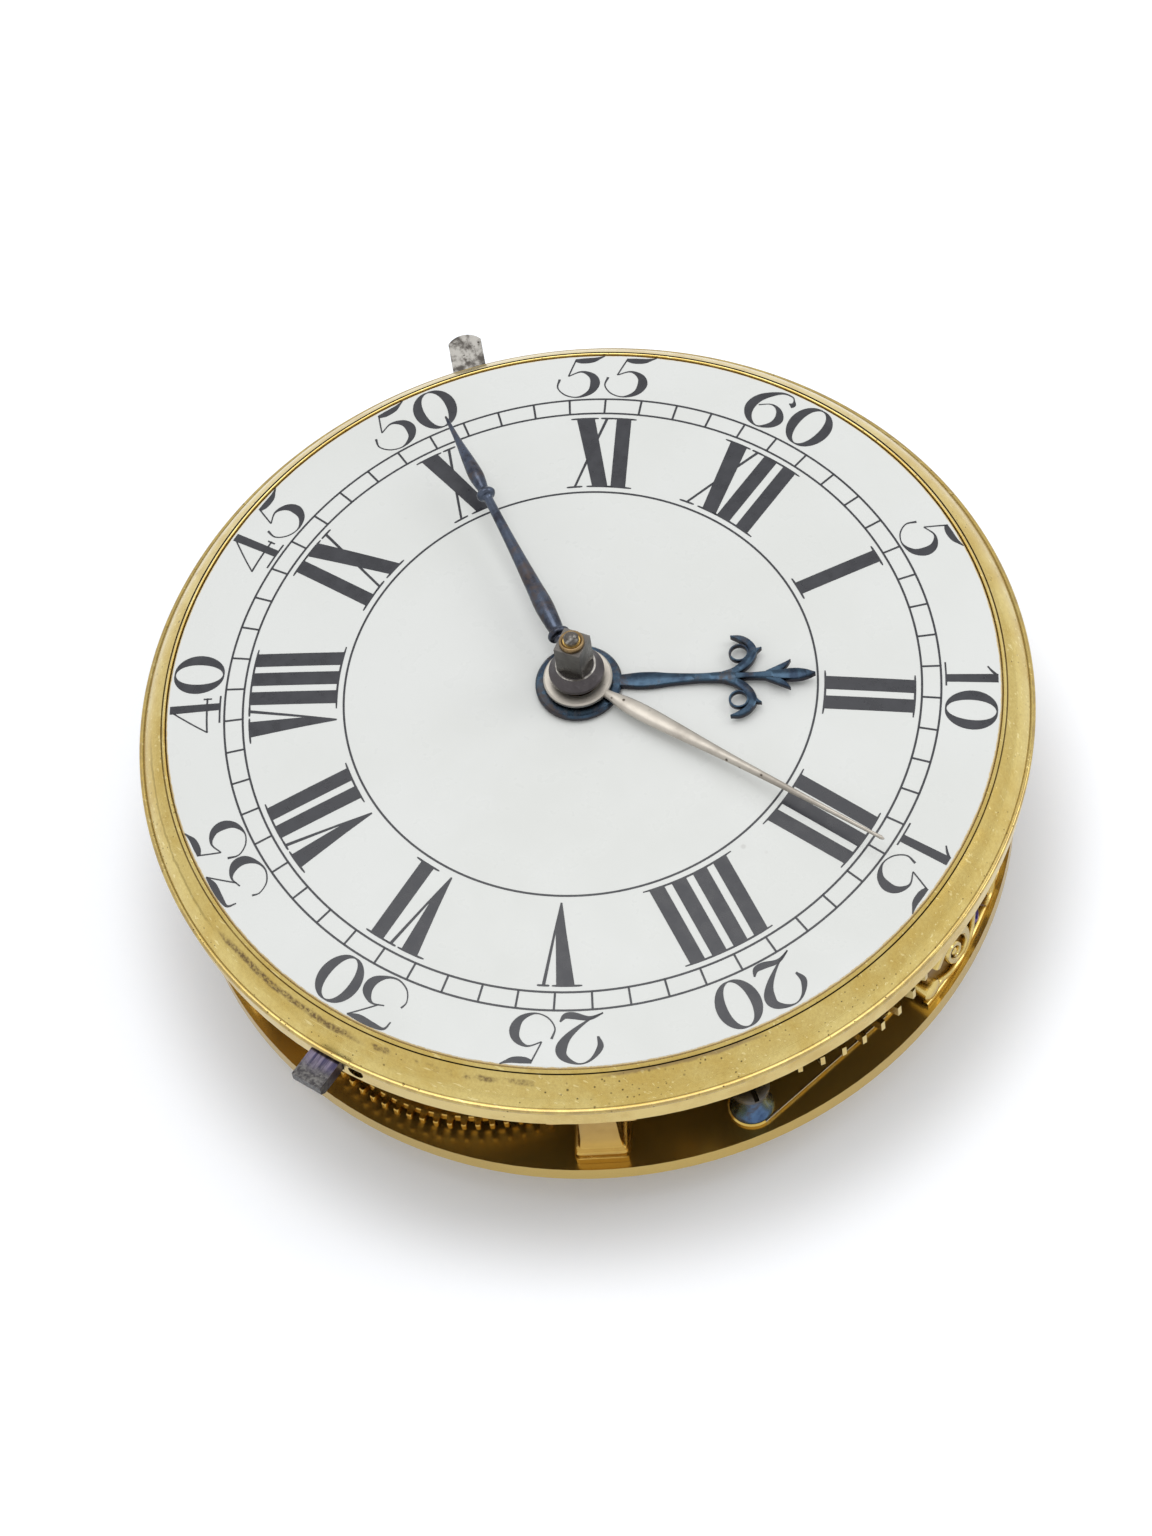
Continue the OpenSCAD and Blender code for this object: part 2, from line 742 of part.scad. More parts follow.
module spiral(r0, pitch, turns, t, h) {
  linear_extrude(h)
    polygon(concat(spiral_line(r0, pitch, turns, t / 2), backwards(spiral_line(r0, pitch, turns, -t / 2))));
}

// Least distance between points of a line that lie at least half a turn apart
function least_apart(points, skip) = min([
  for (i = [0 : len(points) - skip - 1])
    for (j = [i + skip : len(points) - 1]) norm(points[i] - points[j])
]);

mainspring_r0 = barrel_core_r + mainspring_t;
mainspring_turns = floor((barrel_in_r - mainspring_t - mainspring_r0) / mainspring_pitch * 2) / 2;

module mainspring() {
  echo(mainspring_gap = least_apart(spiral_line(mainspring_r0, mainspring_pitch, 2, 0), spiral_steps / 2) - mainspring_t);
  color(steel)
    at_point(barrel_p, spring_z)
      spiral(mainspring_r0, mainspring_pitch, mainspring_turns, mainspring_t, spring_h);
}

// The set-up wheel holds the arbor, and a worm on the top plate holds the wheel
setup_m = setup_out_r / (setup_n / 2 + wheel_form[0]);
worm_angle = 300;
worm_thread_r = 0.55;
worm_core_r = 0.3;
worm_rings = 5;
worm_l = 5.6;
worm_d = setup_m * setup_n / 2 + worm_core_r + setup_m * wheel_form[0] + fit;
worm_p = barrel_p + pol(worm_angle, worm_d);
worm_z = setup_z + setup_t / 2;
worm_journal_r = 0.28;
bracket_w = 1.4;
bracket_t = 0.7;

module setup_wheel() {
  color(brass)
    at_point(barrel_p, setup_z)
      spoked(setup_n, setup_m, setup_t, 90 - worm_angle, barrel_arbor_r + fit, 2.2, 1, 5, 1);
}

module setup_worm() {
  pitch = PI * setup_m;
  color(steel)
    at_point(worm_p, worm_z)
      clock(worm_angle)
        rotate([0, 90, 0]) {
          cylinder(r = worm_core_r, h = worm_l, center = true);
          for (k = [0 : worm_rings])
            translate([0, 0, (k - worm_rings / 2) * pitch])
              cylinder(r = worm_thread_r, h = pitch * 0.3, center = true);
        }
}

module worm_brackets() {
  top = worm_z + worm_core_r + 0.35;
  color(gilt)
    at_point(worm_p)
      clock(worm_angle)
        for (s = [-1, 1])
          difference() {
            translate([s * (worm_l / 2 - bracket_t / 2) - bracket_t / 2, -bracket_w / 2, top_z])
              cube([bracket_t, bracket_w, top - top_z]);
            translate([0, 0, worm_z])
              rotate([0, 90, 0])
                cylinder(r = worm_core_r + fit, h = 2 * worm_l, center = true);
          }
}

module barrel_bar() {
  color(gilt)
    difference() {
      at_point(barrel_p, bar_z)
        union() {
          translate([-bar_l / 2 + bar_w / 2, -bar_w / 2, 0])
            cube([bar_l - bar_w, bar_w, bar_t]);
          for (s = [-1, 1])
            translate([s * (bar_l - bar_w) / 2, 0, 0])
              cylinder(r = bar_w / 2, h = bar_t);
        }
      at_point(barrel_p)
        disc(barrel_pivot_r + fit, bar_z - eps, back_z + eps);
      for (p = bar_screw_points)
        at_point(p)
          disc(small_shank_r + fit, bar_z - eps, back_z + eps);
    }
}

module bar_screws() {
  color(blued)
    for (p = bar_screw_points)
      at_point(p, bar_z)
        mirror([0, 0, 1])
          screw(bar_head_r, bar_head_h, small_shank_r, bar_t + top_plate_t - fit);
}

// Fusee and its chain
fusee_pivot_r = 0.7;
fusee_arbor_r = 0.9;
fusee_grooves = 6;
fusee_low_z = fusee_top_z - fusee_h;
function fusee_r_at(z) = fusee_small_r + (fusee_big_r - fusee_small_r) * pow((z - fusee_low_z) / fusee_h, 0.8);
function groove_points(k) = let (
  step = fusee_h / fusee_grooves,
  z0 = fusee_low_z + k * step,
  z1 = z0 + step
) [
  [fusee_r_at(z0 + step * 0.1), z0],
  [fusee_r_at(z0 + step * 0.1), z0 + step * 0.1],
  [fusee_r_at(z0 + step * 0.3) - groove_d, z0 + step * 0.2],
  [fusee_r_at(z0 + step * 0.7) - groove_d, z0 + step * 0.9],
  [fusee_r_at(z1), z1 - step * 0.05]
];

module fusee_cone() {
  color(brass)
    at_point(fusee_p)
      rotate_extrude()
        polygon(concat(
          [[fusee_arbor_r + fit, fusee_low_z]],
          [for (k = [0 : fusee_grooves - 1]) each groove_points(k)],
          [[fusee_big_r, fusee_top_z], [fusee_arbor_r + fit, fusee_top_z]]
        ));
}

module fusee_arbor() {
  color(steel)
    at_point(fusee_p) {
      disc(fusee_arbor_r, top_z + shake, inner_z - shake);
      disc(fusee_pivot_r, back_z - shake, -shake);
      translate([-winding_square / 2, -winding_square / 2, back_z - winding_square_l])
        cube([winding_square, winding_square, winding_square_l - shake]);
    }
}

// Chain: down the fusee, straight across to the barrel, and down the barrel
chain_lift = 0.12 + chain_t / 2;
chain_steps = 24;
chain_cross_z = fusee_top_z - chain_h / 2 - 0.15 - chain_pitch * fusee_turns;
barrel_chain_r = barrel_out_r + chain_lift;
function fusee_chain_r(z) = fusee_r_at(min(z + chain_h / 2, fusee_top_z)) + chain_lift;
chain_span = norm(barrel_p - fusee_p);
chain_normal = heading(barrel_p, fusee_p) - acos((barrel_chain_r - fusee_chain_r(chain_cross_z)) / chain_span);
fusee_chain_line = [
  for (i = [round(fusee_turns * chain_steps) : -1 : 0])
    let (turn = i / chain_steps, z = chain_cross_z + chain_pitch * turn, a = chain_normal + 360 * turn)
      [each (fusee_p + at(fusee_chain_r(z), a)), z, a]
];
barrel_chain_line = [
  for (i = [0 : round(barrel_turns * chain_steps)])
    let (turn = i / chain_steps, a = chain_normal - 360 * turn)
      [each (barrel_p + at(barrel_chain_r, a)), chain_cross_z - chain_pitch * turn, a]
];
chain_line = concat(fusee_chain_line, barrel_chain_line);
chain_corners = [[-1, -1], [1, -1], [1, 1], [-1, 1]];
chain_points = [
  for (p = chain_line)
    for (c = chain_corners)
      [p[0] + c[0] * chain_t / 2 * cos(p[3]), p[1] + c[0] * chain_t / 2 * sin(p[3]), p[2] + c[1] * chain_h / 2]
];
chain_last = len(chain_line) - 1;
chain_end = 4 * chain_last;
chain_sides = [
  for (i = [0 : chain_last - 1])
    for (k = [0 : 3])
      for (t = [[0, 1, 2], [0, 2, 3]])
        let (ring = [4 * i + k, 4 * i + (k + 1) % 4, 4 * i + 4 + (k + 1) % 4, 4 * i + 4 + k])
          [ring[t[0]], ring[t[1]], ring[t[2]]]
];
chain_caps = [[0, 2, 1], [0, 3, 2], [chain_end, chain_end + 1, chain_end + 2], [chain_end, chain_end + 2, chain_end + 3]];
chain_gap = least_apart([for (p = chain_line) [p[0], p[1], p[2]]], chain_steps / 2) - chain_h;

module fusee_chain() {
  echo(chain_gap = chain_gap);
  color(steel)
    polyhedron(points = chain_points, faces = concat(chain_sides, chain_caps));
}

great_hub_r = 2.2;

module great_wheel() {
  color(gilt)
    at_point(fusee_p, great_z)
      spoked(great_n, great_mod, great_t, great_phase, fusee_arbor_r + run, great_hub_r, 1, 4, 1.1);
}

// Stop work on the inner face of the top plate
stop_screw_p = pol(123.2, top_plate_r - 1.56);
stop_tip_p = pol(98.5, top_plate_r - 2.6);
stop_bar_w = 2.3;
stop_bar_t = 0.22;
stop_head_r = 0.95;
stop_head_h = 0.5;
stop_collar_r = 1.05;
stop_collar_h = 0.3;
stop_neck_r = 0.6;
stop_neck_h = 0.75;

module stop_bar() {
  turn = heading(stop_screw_p, stop_tip_p);
  length = norm(stop_tip_p - stop_screw_p);
  color(gilt)
    difference() {
      at_point(stop_screw_p, top_z)
        rotate([0, 0, turn])
          union() {
            cylinder(r = stop_bar_w / 2, h = stop_bar_t);
            translate([length, 0, 0])
              cylinder(r = stop_bar_w / 2, h = stop_bar_t);
            translate([0, -stop_bar_w / 2, 0])
              cube([length, stop_bar_w, stop_bar_t]);
          }
      at_point(stop_screw_p)
        disc(small_shank_r + fit, top_z - eps, top_z + stop_bar_t + eps);
    }
}

module stop_bar_screw() {
  base = top_z + stop_bar_t;
  color(blued)
    at_point(stop_screw_p, base) {
      cylinder(r1 = stop_collar_r, r2 = stop_neck_r, h = stop_collar_h);
      cylinder(r = stop_neck_r, h = stop_neck_h + eps);
      translate([0, 0, stop_neck_h])
        screw(stop_head_r, stop_head_h, small_shank_r, stop_neck_h + stop_bar_t + top_plate_t - fit);
    }
}

// Scroll bracket: a carved wall on the rim of the top plate, with its face outwards
scroll_out_r = top_plate_r - 0.25;
scroll_t = 1.1;
scroll_band_h = 0.45;
// Clock angle, radius and height of the middle of each scroll, from the knob to the small end
scrolls = [[93, 0.75, 0.83], [85.7, 1.35, 1.45], [74.8, 0.9, 0.98], [69.6, 0.6, 0.68]];
bracket_screw_p = pol(79.5, scroll_out_r - 0.62);
bracket_head_r = 0.48;
bracket_head_h = 0.3;

module scroll(angle, r, up) {
  clock(angle)
    translate([0, scroll_out_r - scroll_t, top_z + up])
      rotate([-90, 0, 0])
        cylinder(r = r, h = scroll_t);
}

module scroll_bracket() {
  steps = 12;
  span = [for (i = [0 : steps]) 94 + (68.8 - 94) * i / steps];
  color(gilt)
    difference() {
      union() {
        for (s = scrolls)
          scroll(s[0], s[1], s[2]);
        translate([0, 0, top_z])
          linear_extrude(scroll_band_h)
            polygon(concat(
              [for (a = span) pol(a, scroll_out_r - scroll_t)],
              backwards([for (a = span) pol(a, scroll_out_r - 0.1)])
            ));
      }
      at_point(bracket_screw_p)
        disc(bracket_shank_r + fit, top_z - eps, top_z + 1);
    }
}

module bracket_screw() {
  color(blued)
    at_point(bracket_screw_p, top_z + scroll_band_h)
      screw(bracket_head_r, bracket_head_h, bracket_shank_r, scroll_band_h + top_plate_t - fit, 0.16);
}

// Going train, from the centre arbor to the escape wheel
centre_phase = 0;
centre_pinion_phase = 0;
great_phase = mesh_phase(centre_pinion_phase, centre_pinion_n, great_n, heading(origin, fusee_p));
third_pinion_phase = mesh_phase(centre_phase, centre_n, third_pinion_n, heading(origin, third_p));
fourth_pinion_phase = mesh_phase(0, third_n, fourth_pinion_n, heading(third_p, fourth_p));
escape_pinion_phase = mesh_phase(0, fourth_n, escape_pinion_n, heading(fourth_p, escape_p));
leaf_over = 0.25;
centre_hub_r = 1;
fourth_nose_r = 0.4;

module leaves(n, m, z, t, phase) {
  translate([0, 0, z - leaf_over])
    gear(n, m, t + 2 * leaf_over, phase, leaf_form);
}

module centre_arbor() {
  color(steel) {
    disc(arbor_r, top_z + shake, great_z);
    disc(pivot_r, back_z + shake, top_z + shake + eps);
    leaves(centre_pinion_n, great_mod, great_z, great_t, centre_pinion_phase);
    disc(centre_hub_r, great_z + great_t, inner_z - shake);
    disc(centre_pivot_r, inner_z - shake - eps, cannon_z);
    disc(nose_r, 0, square_top_z + 0.4);
    translate([0, 0, square_top_z + 0.4])
      cylinder(r1 = nose_r, r2 = nose_r * 0.6, h = 0.2);
  }
}

module centre_wheel() {
  color(gilt)
    translate([0, 0, centre_z])
      spoked(centre_n, centre_mod, wheel_t, centre_phase, centre_hub_r, 1.9);
}

module third_pinion() {
  color(steel)
    at_point(third_p) {
      arbor(arbor_r);
      leaves(third_pinion_n, centre_mod, centre_z, wheel_t, third_pinion_phase);
    }
}

module third_wheel() {
  color(gilt)
    at_point(third_p, third_z)
      spoked(third_n, third_mod, wheel_t, 0, arbor_r, 1.4);
}

module fourth_pinion() {
  color(steel)
    at_point(fourth_p) {
      disc(arbor_r, top_z + shake, inner_z - shake);
      disc(pivot_r, back_z + shake, top_z + shake + eps);
      disc(fourth_nose_r, inner_z - shake - eps, seconds_z + motion_t);
      leaves(fourth_pinion_n, third_mod, third_z, wheel_t, fourth_pinion_phase);
    }
}

module fourth_wheel() {
  color(gilt)
    at_point(fourth_p, fourth_z)
      spoked(fourth_n, fourth_mod, wheel_t, 0, arbor_r, 1.3);
}

escape_arbor_r = 0.34;

module escape_pinion() {
  color(steel)
    at_point(escape_p) {
      arbor(escape_arbor_r);
      leaves(escape_pinion_n, fourth_mod, fourth_z, wheel_t, escape_pinion_phase);
    }
}

// Fifteen pointed teeth, with a gap between two of them where the cylinder stands
escape_root_r = escape_out_r * 0.72;
escape_tip_w = 0.16;
function escape_points() = [
  for (k = [0 : escape_n - 1])
    for (c = [[escape_root_r, -0.2], [escape_out_r, -escape_tip_w / 2], [escape_out_r, escape_tip_w / 2], [escape_root_r, 0.28]])
      at(c[0], (k + 0.5 + c[1]) * 360 / escape_n)
];

module escape_wheel() {
  color(gilt)
    at_point(escape_p, escape_z)
      rotate([0, 0, heading(escape_p, balance_p)])
        difference() {
          linear_extrude(wheel_t)
            polygon(escape_points());
          crossings(3, 0.9, escape_root_r - 0.5, 0.5, wheel_t);
          disc(escape_arbor_r, -eps, wheel_t + eps);
        }
}

// Potence: the bracket inside the frame for the cylinder's inner pivot
potence_angle = 95;
potence_post_p = balance_p + pol(potence_angle, 2.9);
potence_post_r = 1.1;
potence_z = escape_z + wheel_t + 0.9;
potence_t = 0.6;
staff_pivot_r = 0.16;

module potence() {
  color(gilt)
    difference() {
      union() {
        at_point(potence_post_p)
          disc(potence_post_r, top_z, potence_z + potence_t);
        at_point(balance_p, potence_z)
          union() {
            cylinder(r = 0.9, h = potence_t);
            clock(potence_angle)
              translate([-0.7, 0, 0])
                cube([1.4, norm(potence_post_p - balance_p), potence_t]);
          }
      }
      at_point(balance_p)
        disc(staff_pivot_r + run, potence_z - eps, potence_z + potence_t + eps);
      at_point(potence_post_p)
        disc(small_shank_r + fit, top_z - eps, top_z + potence_screw_l);
    }
}

potence_screw_l = 1.6;

module potence_screw() {
  color(blued)
    at_point(potence_post_p, back_z)
      mirror([0, 0, 1])
        screw(0.75, 0.3, small_shank_r, top_plate_t + potence_screw_l - 2 * fit, 0.18);
}

// Balance staff: the cylinder is cut open towards the escape wheel
shell_z = escape_z - 0.2;
shell_h = wheel_t + 0.4;
staff_seat_r = 0.7;

module balance_staff() {
  to_wheel = heading(balance_p, escape_p);
  color(steel)
    at_point(balance_p)
      difference() {
        union() {
          disc(staff_pivot_r, potence_z + 0.1, potence_z + potence_t - shake);
          disc(staff_pivot_r, shell_z + shell_h, potence_z + potence_t - shake);
          disc(cylinder_r, back_z + shake, potence_z - shake);
          disc(staff_seat_r, balance_z - 0.3, hairspring_z - 0.1);
          disc(collet_r, hairspring_z - 0.1, hairspring_z + hairspring_h);
          disc(cylinder_r, balance_z - 0.3, back_z + shake + eps);
          disc(staff_pivot_r, cock_z + shake, balance_z);
        }
        disc(cylinder_r - cylinder_wall, shell_z, shell_z + shell_h);
        rotate([0, 0, to_wheel])
          translate([-0.05, -1, shell_z])
            cube([2, 2, shell_h]);
      }
}

module balance_wheel() {
  hub = 1.3;
  color(brass)
    at_point(balance_p, balance_z)
      difference() {
        cylinder(r = balance_out_r, h = balance_t, $fn = 96);
        crossings(3, hub, balance_out_r - balance_rim_w, 0.8, balance_t);
        disc(staff_seat_r, -eps, balance_t + eps);
      }
}

// The balance spring runs from the collet to its stud
hairspring_turn = 200;
hairspring_end = hairspring_turn + 360 * hairspring_turns;
spring_stud_p = balance_p + at(hairspring_r1 + hairspring_t / 2 + stud_block_r, hairspring_end);

module balance_spring() {
  line = spiral_line(hairspring_r0, hairspring_pitch, hairspring_turns, 0);
  echo(balance_spring_gap = least_apart(line, spiral_steps / 2) - hairspring_t);
  color(blued)
    at_point(balance_p, hairspring_z)
      rotate([0, 0, hairspring_turn])
        spiral(hairspring_r0, hairspring_pitch, hairspring_turns, hairspring_t, hairspring_h);
}

module spring_stud() {
  color(brass)
    at_point(spring_stud_p) {
      disc(stud_block_r, hairspring_z, back_z);
      disc(stud_block_r / 2, back_z - eps, top_z - fit);
    }
}

// Regulator: a ring around the spring, a pointer, and two pins astride the outer turn
regulator_in_r = hairspring_r1 + hairspring_t / 2 + 2 * stud_block_r + 0.15;
regulator_w = 0.9;
regulator_angle = 300;
regulator_swing = 25;
regulator_l = 9.4;
curb_pin_r = 0.1;
curb_gap = 0.32;
curb_heading = 90 - regulator_angle;
curb_share = (curb_heading - hairspring_turn) / 360;
curb_r = hairspring_r1 - hairspring_pitch * (1 - (curb_share - floor(curb_share)));

module regulator() {
  color(steel)
    at_point(balance_p, regulator_z) {
      difference() {
        cylinder(r = regulator_in_r + regulator_w, h = regulator_t);
        disc(regulator_in_r, -eps, regulator_t + eps);
      }
      clock(regulator_angle) {
        translate([-0.35, regulator_in_r + regulator_w / 2, 0])
          linear_extrude(regulator_t)
            polygon([[0, 0], [0.7, 0], [0.42, regulator_l - regulator_in_r], [0.28, regulator_l - regulator_in_r]]);
        translate([-0.35, curb_r - curb_gap - curb_pin_r, 0])
          cube([0.7, regulator_in_r + regulator_w / 2 - curb_r + curb_gap + curb_pin_r, regulator_t]);
        for (s = [-1, 1])
          translate([0, curb_r + s * curb_gap, hairspring_z - regulator_z])
            cylinder(r = curb_pin_r, h = regulator_z - hairspring_z + eps);
      }
    }
}

// Balance cock: a pierced round table over the balance, and a foot at the rim
cock_screw_p = pol(balance_angle, (foot_r + foot_in_r) / 2);
cock_neck_w = 5;
cock_hole_count = 8;
cock_eye_r = 1.2;
cock_hole_r = 1.25;
cock_hole_d = 5;
cock_bead_r = 0.6;
cock_bead_d = 2.7;
cock_neck_l = foot_in_r - norm(balance_p) + 0.5;
jewel_r = 1.5;

module cock_foot() {
  intersection() {
    difference() {
      disc(foot_r, cock_z, back_z);
      disc(foot_in_r, cock_z - eps, back_z + eps);
    }
    clock(balance_angle)
      translate([-foot_w / 2, 0, cock_z])
        cube([foot_w, foot_r + 1, back_z - cock_z]);
  }
}

module balance_cock() {
  color(gilt)
    difference() {
      union() {
        at_point(balance_p, cock_z)
          cylinder(r = cock_table_r, h = cock_t, $fn = 96);
        at_point(balance_p, cock_z)
          clock(balance_angle)
            translate([-cock_neck_w / 2, 0, 0])
              cube([cock_neck_w, cock_neck_l, cock_t]);
        cock_foot();
      }
      at_point(balance_p, cock_z - eps) {
        cylinder(r = staff_pivot_r + run, h = cock_t + 2 * eps);
        for (k = [0 : cock_hole_count - 1])
          clock(balance_angle + (k + 0.5) * 360 / cock_hole_count) {
            translate([0, cock_hole_d, 0])
              cylinder(r = cock_hole_r, h = cock_t + 2 * eps);
            translate([0, cock_bead_d, 0])
              cylinder(r = cock_bead_r, h = cock_t + 2 * eps);
          }
      }
      at_point(cock_screw_p)
        disc(cock_screw_shank_r + fit, cock_z - eps, back_z + eps);
    }
}

module cock_screw() {
  color(blued)
    at_point(cock_screw_p, cock_z)
      mirror([0, 0, 1])
        screw(1, 0.4, cock_screw_shank_r, back_z - cock_z + top_plate_t - fit);
}

module endstone() {
  color(ruby)
    at_point(balance_p, cock_z)
      mirror([0, 0, 1])
        cylinder(r1 = jewel_r, r2 = jewel_r * 0.8, h = 0.35);
}

// Motion work and hands
cannon_phase = 0;
minute_phase = mesh_phase(cannon_phase, cannon_n, minute_n, heading(origin, minute_p));
minute_pinion_phase = 0;
hour_phase = mesh_phase(minute_pinion_phase, minute_pinion_n, hour_n, heading(minute_p, origin));
driver_phase = 0;
idler_phase = mesh_phase(driver_phase, seconds_n, idler_n, heading(fourth_p, idler_p));
seconds_phase = mesh_phase(idler_phase, idler_n, seconds_n, heading(idler_p, origin));
bush_r = 0.54;
square_turn = 11;

module cannon_pinion() {
  color(steel)
    difference() {
      union() {
        translate([0, 0, cannon_z])
          gear(cannon_n, cannon_mod, motion_t + 0.06, cannon_phase, leaf_form);
        disc(cannon_r, cannon_z, square_z + eps);
        rotate([0, 0, square_turn])
          translate([-hand_square / 2, -hand_square / 2, square_z])
            cube([hand_square, hand_square, hand_square_h]);
      }
      disc(nose_r, 0, square_top_z + 1);
      disc(bush_r, square_top_z - 1, square_top_z + 1);
    }
}

module cannon_bush() {
  color(brass)
    difference() {
      union() {
        disc(bush_r, square_top_z - 1, square_top_z);
        translate([0, 0, square_top_z])
          cylinder(r1 = bush_r, r2 = nose_r + 0.05, h = 0.2);
      }
      disc(nose_r, 0, square_top_z + 1);
    }
}

minute_boss_r = 1.3;
minute_boss_top_r = 0.93;
minute_hand_z = minute_boss_z + minute_boss_h / 2;

// Turned poker hand: radius along its length
minute_profile = [
  [1, 0.32], [1.9, 0.32], [2, 0.52], [2.2, 0.52], [2.3, 0.36], [4, 0.46], [10.3, 0.22], [10.75, 0.24],
  [10.95, 0.45], [11.15, 0.45], [11.3, 0.24], [12.3, 0.37], [14, 0.18], [minute_hand_l, 0.05]
];

module minute_hand() {
  color(blued)
    difference() {
      union() {
        translate([0, 0, minute_boss_z])
          cylinder(r1 = minute_boss_r, r2 = minute_boss_top_r, h = minute_boss_h);
        translate([0, 0, minute_hand_z])
          clock(minute_angle)
            rotate([-90, 0, 0])
              rotate_extrude($fn = 24)
                polygon(concat(
                  [[0, minute_profile[0][0]]],
                  [for (p = minute_profile) [p[1], p[0]]],
                  [[0, minute_hand_l]]
                ));
      }
      disc(cannon_r, minute_boss_z - eps, square_z + eps);
    }
}

module minute_wheel() {
  color(brass)
    at_point(minute_p)
      difference() {
        union() {
          translate([0, 0, cannon_z])
            gear(minute_n, cannon_mod, motion_t, minute_phase);
          translate([0, 0, cannon_z + motion_t - eps])
            gear(minute_pinion_n, hour_m, hour_z - cannon_z + eps, minute_pinion_phase, leaf_form);
        }
        disc(stud_r + run, 0, 3);
      }
}

module hour_wheel() {
  color(brass)
    difference() {
      union() {
        translate([0, 0, hour_z])
          gear(hour_n, hour_m, motion_t, hour_phase);
        disc(hour_pipe_r, hour_z, hour_hand_z + hour_hand_t);
      }
      disc(seconds_pipe_r + run, 0, hour_hand_z + 1);
    }
}

// Outline along +Y: a swelling stem, two curls and a leaf-shaped tip
hour_boss_r = 2;
hour_curl_y = 7.8;
hour_curl_x = 1.2;
hour_curl_r = 0.72;
hour_curl_w = 0.32;
hour_half = [
  [0.42, 1.9], [0.52, 3.4], [0.3, 5.2], [0.2, 6.6], [0.95, 7.2], [0.9, 7.5], [0.22, 7.5], [0.2, 8.4], [0.75, 9.4],
  [0.3, 9.5], [0.36, 10]
];

module hour_hand() {
  color(blued)
    difference() {
      union() {
        disc(hour_boss_r, hour_hand_z, hour_hand_z + hour_hand_t);
        translate([0, 0, hour_hand_z])
          clock(hour_angle) {
            linear_extrude(hour_hand_t)
              polygon(concat(hour_half, [[0, hour_hand_l]], backwards([for (p = hour_half) [-p[0], p[1]]])));
            for (s = [-1, 1])
              difference() {
                translate([s * hour_curl_x, hour_curl_y, 0])
                  cylinder(r = hour_curl_r, h = hour_hand_t);
                translate([s * hour_curl_x, hour_curl_y, -eps])
                  cylinder(r = hour_curl_r - hour_curl_w, h = hour_hand_t + 2 * eps);
              }
          }
      }
      disc(hour_pipe_r, hour_hand_z - eps, hour_hand_z + hour_hand_t + eps);
    }
}

module seconds_driver() {
  color(brass)
    at_point(fourth_p, seconds_z)
      difference() {
        gear(seconds_n, seconds_mod, motion_t, driver_phase);
        disc(fourth_nose_r, -eps, motion_t + eps);
      }
}

module seconds_idler() {
  color(brass)
    at_point(idler_p, seconds_z)
      difference() {
        gear(idler_n, seconds_mod, motion_t, idler_phase);
        disc(stud_r + run, -eps, motion_t + eps);
      }
}

module seconds_wheel() {
  color(brass)
    difference() {
      union() {
        translate([0, 0, seconds_z])
          gear(seconds_n, seconds_mod, motion_t, seconds_phase);
        disc(seconds_pipe_r, seconds_z, seconds_hand_z + seconds_boss_t);
      }
      disc(cannon_r + run, 0, seconds_hand_z + 1);
    }
}

seconds_boss_r = 1.6;
seconds_root_w = 0.84;
seconds_tip_w = 0.16;

module seconds_hand() {
  color(steel)
    translate([0, 0, seconds_hand_z])
      difference() {
        union() {
          cylinder(r = seconds_boss_r, h = seconds_boss_t);
          clock(seconds_angle)
            linear_extrude(seconds_boss_t * 0.8)
              polygon([
                [-seconds_root_w / 2, seconds_boss_r - 0.2], [seconds_root_w / 2, seconds_boss_r - 0.2],
                [seconds_tip_w / 2, seconds_hand_l], [-seconds_tip_w / 2, seconds_hand_l]
              ]);
        }
        disc(seconds_pipe_r, -eps, seconds_boss_t + eps);
      }
}

// Studs on the pillar plate for the idler and the minute wheel
module dial_studs() {
  color(steel) {
    at_point(idler_p) {
      disc(stud_r, -stud_sink, seconds_z + motion_t);
      disc(2 * stud_r, 0, seconds_z - run);
    }
    at_point(minute_p) {
      disc(stud_r, -stud_sink, hour_z + motion_t);
      disc(2 * stud_r, 0, cannon_z - run);
    }
  }
}

// Bolt, its spring, and the stop lever
bolt_z = bolt_floor_z + bolt_slot_gap;
bolt_stud_y = room_r - 1.77;
bolt_stud_r = 0.35;
bolt_stud_h = 0.45;
bolt_bevel = 0.25;
bolt_spring_t = 0.22;
bolt_spring_h = 0.35;
spring_screw_p = pol(205.6, room_r - 2.77);

module bolt() {
  y0 = -bolt_reach;
  y1 = -bolt_inner_y;
  color(steel) {
    translate([bolt_w / 2, 0, bolt_z])
      rotate([90, 0, -90])
        linear_extrude(bolt_w)
          polygon([
            [-y1, 0], [-y0 - bolt_bevel, 0], [-y0, bolt_bevel], [-y0, bolt_t], [-y1, bolt_t]
          ]);
    translate([0, -bolt_stud_y, bolt_z])
      cylinder(r = bolt_stud_r, h = bolt_t + bolt_slot_gap + bolt_stud_h);
  }
}

module bolt_spring() {
  tip = [0.3, -bolt_stud_y + bolt_stud_r + bolt_spring_t / 2 + fit];
  root = spring_screw_p;
  turn = heading(root, tip);
  length = norm(tip - root);
  color(steel)
    translate([0, 0, 0.03])
      difference() {
        union() {
          at_point(root)
            cylinder(r = 0.95, h = bolt_spring_h);
          at_point(root)
            rotate([0, 0, turn])
              translate([0, -bolt_spring_t / 2, 0])
                cube([length, bolt_spring_t, bolt_spring_h]);
        }
        at_point(root)
          disc(small_shank_r + fit, -eps, bolt_spring_h + eps);
      }
}

module bolt_spring_screw() {
  color(blued)
    at_point(spring_screw_p, bolt_spring_h + 0.03)
      screw(0.8, 0.3, small_shank_r, bolt_spring_h + 0.03 + stud_sink - fit, 0.18);
}

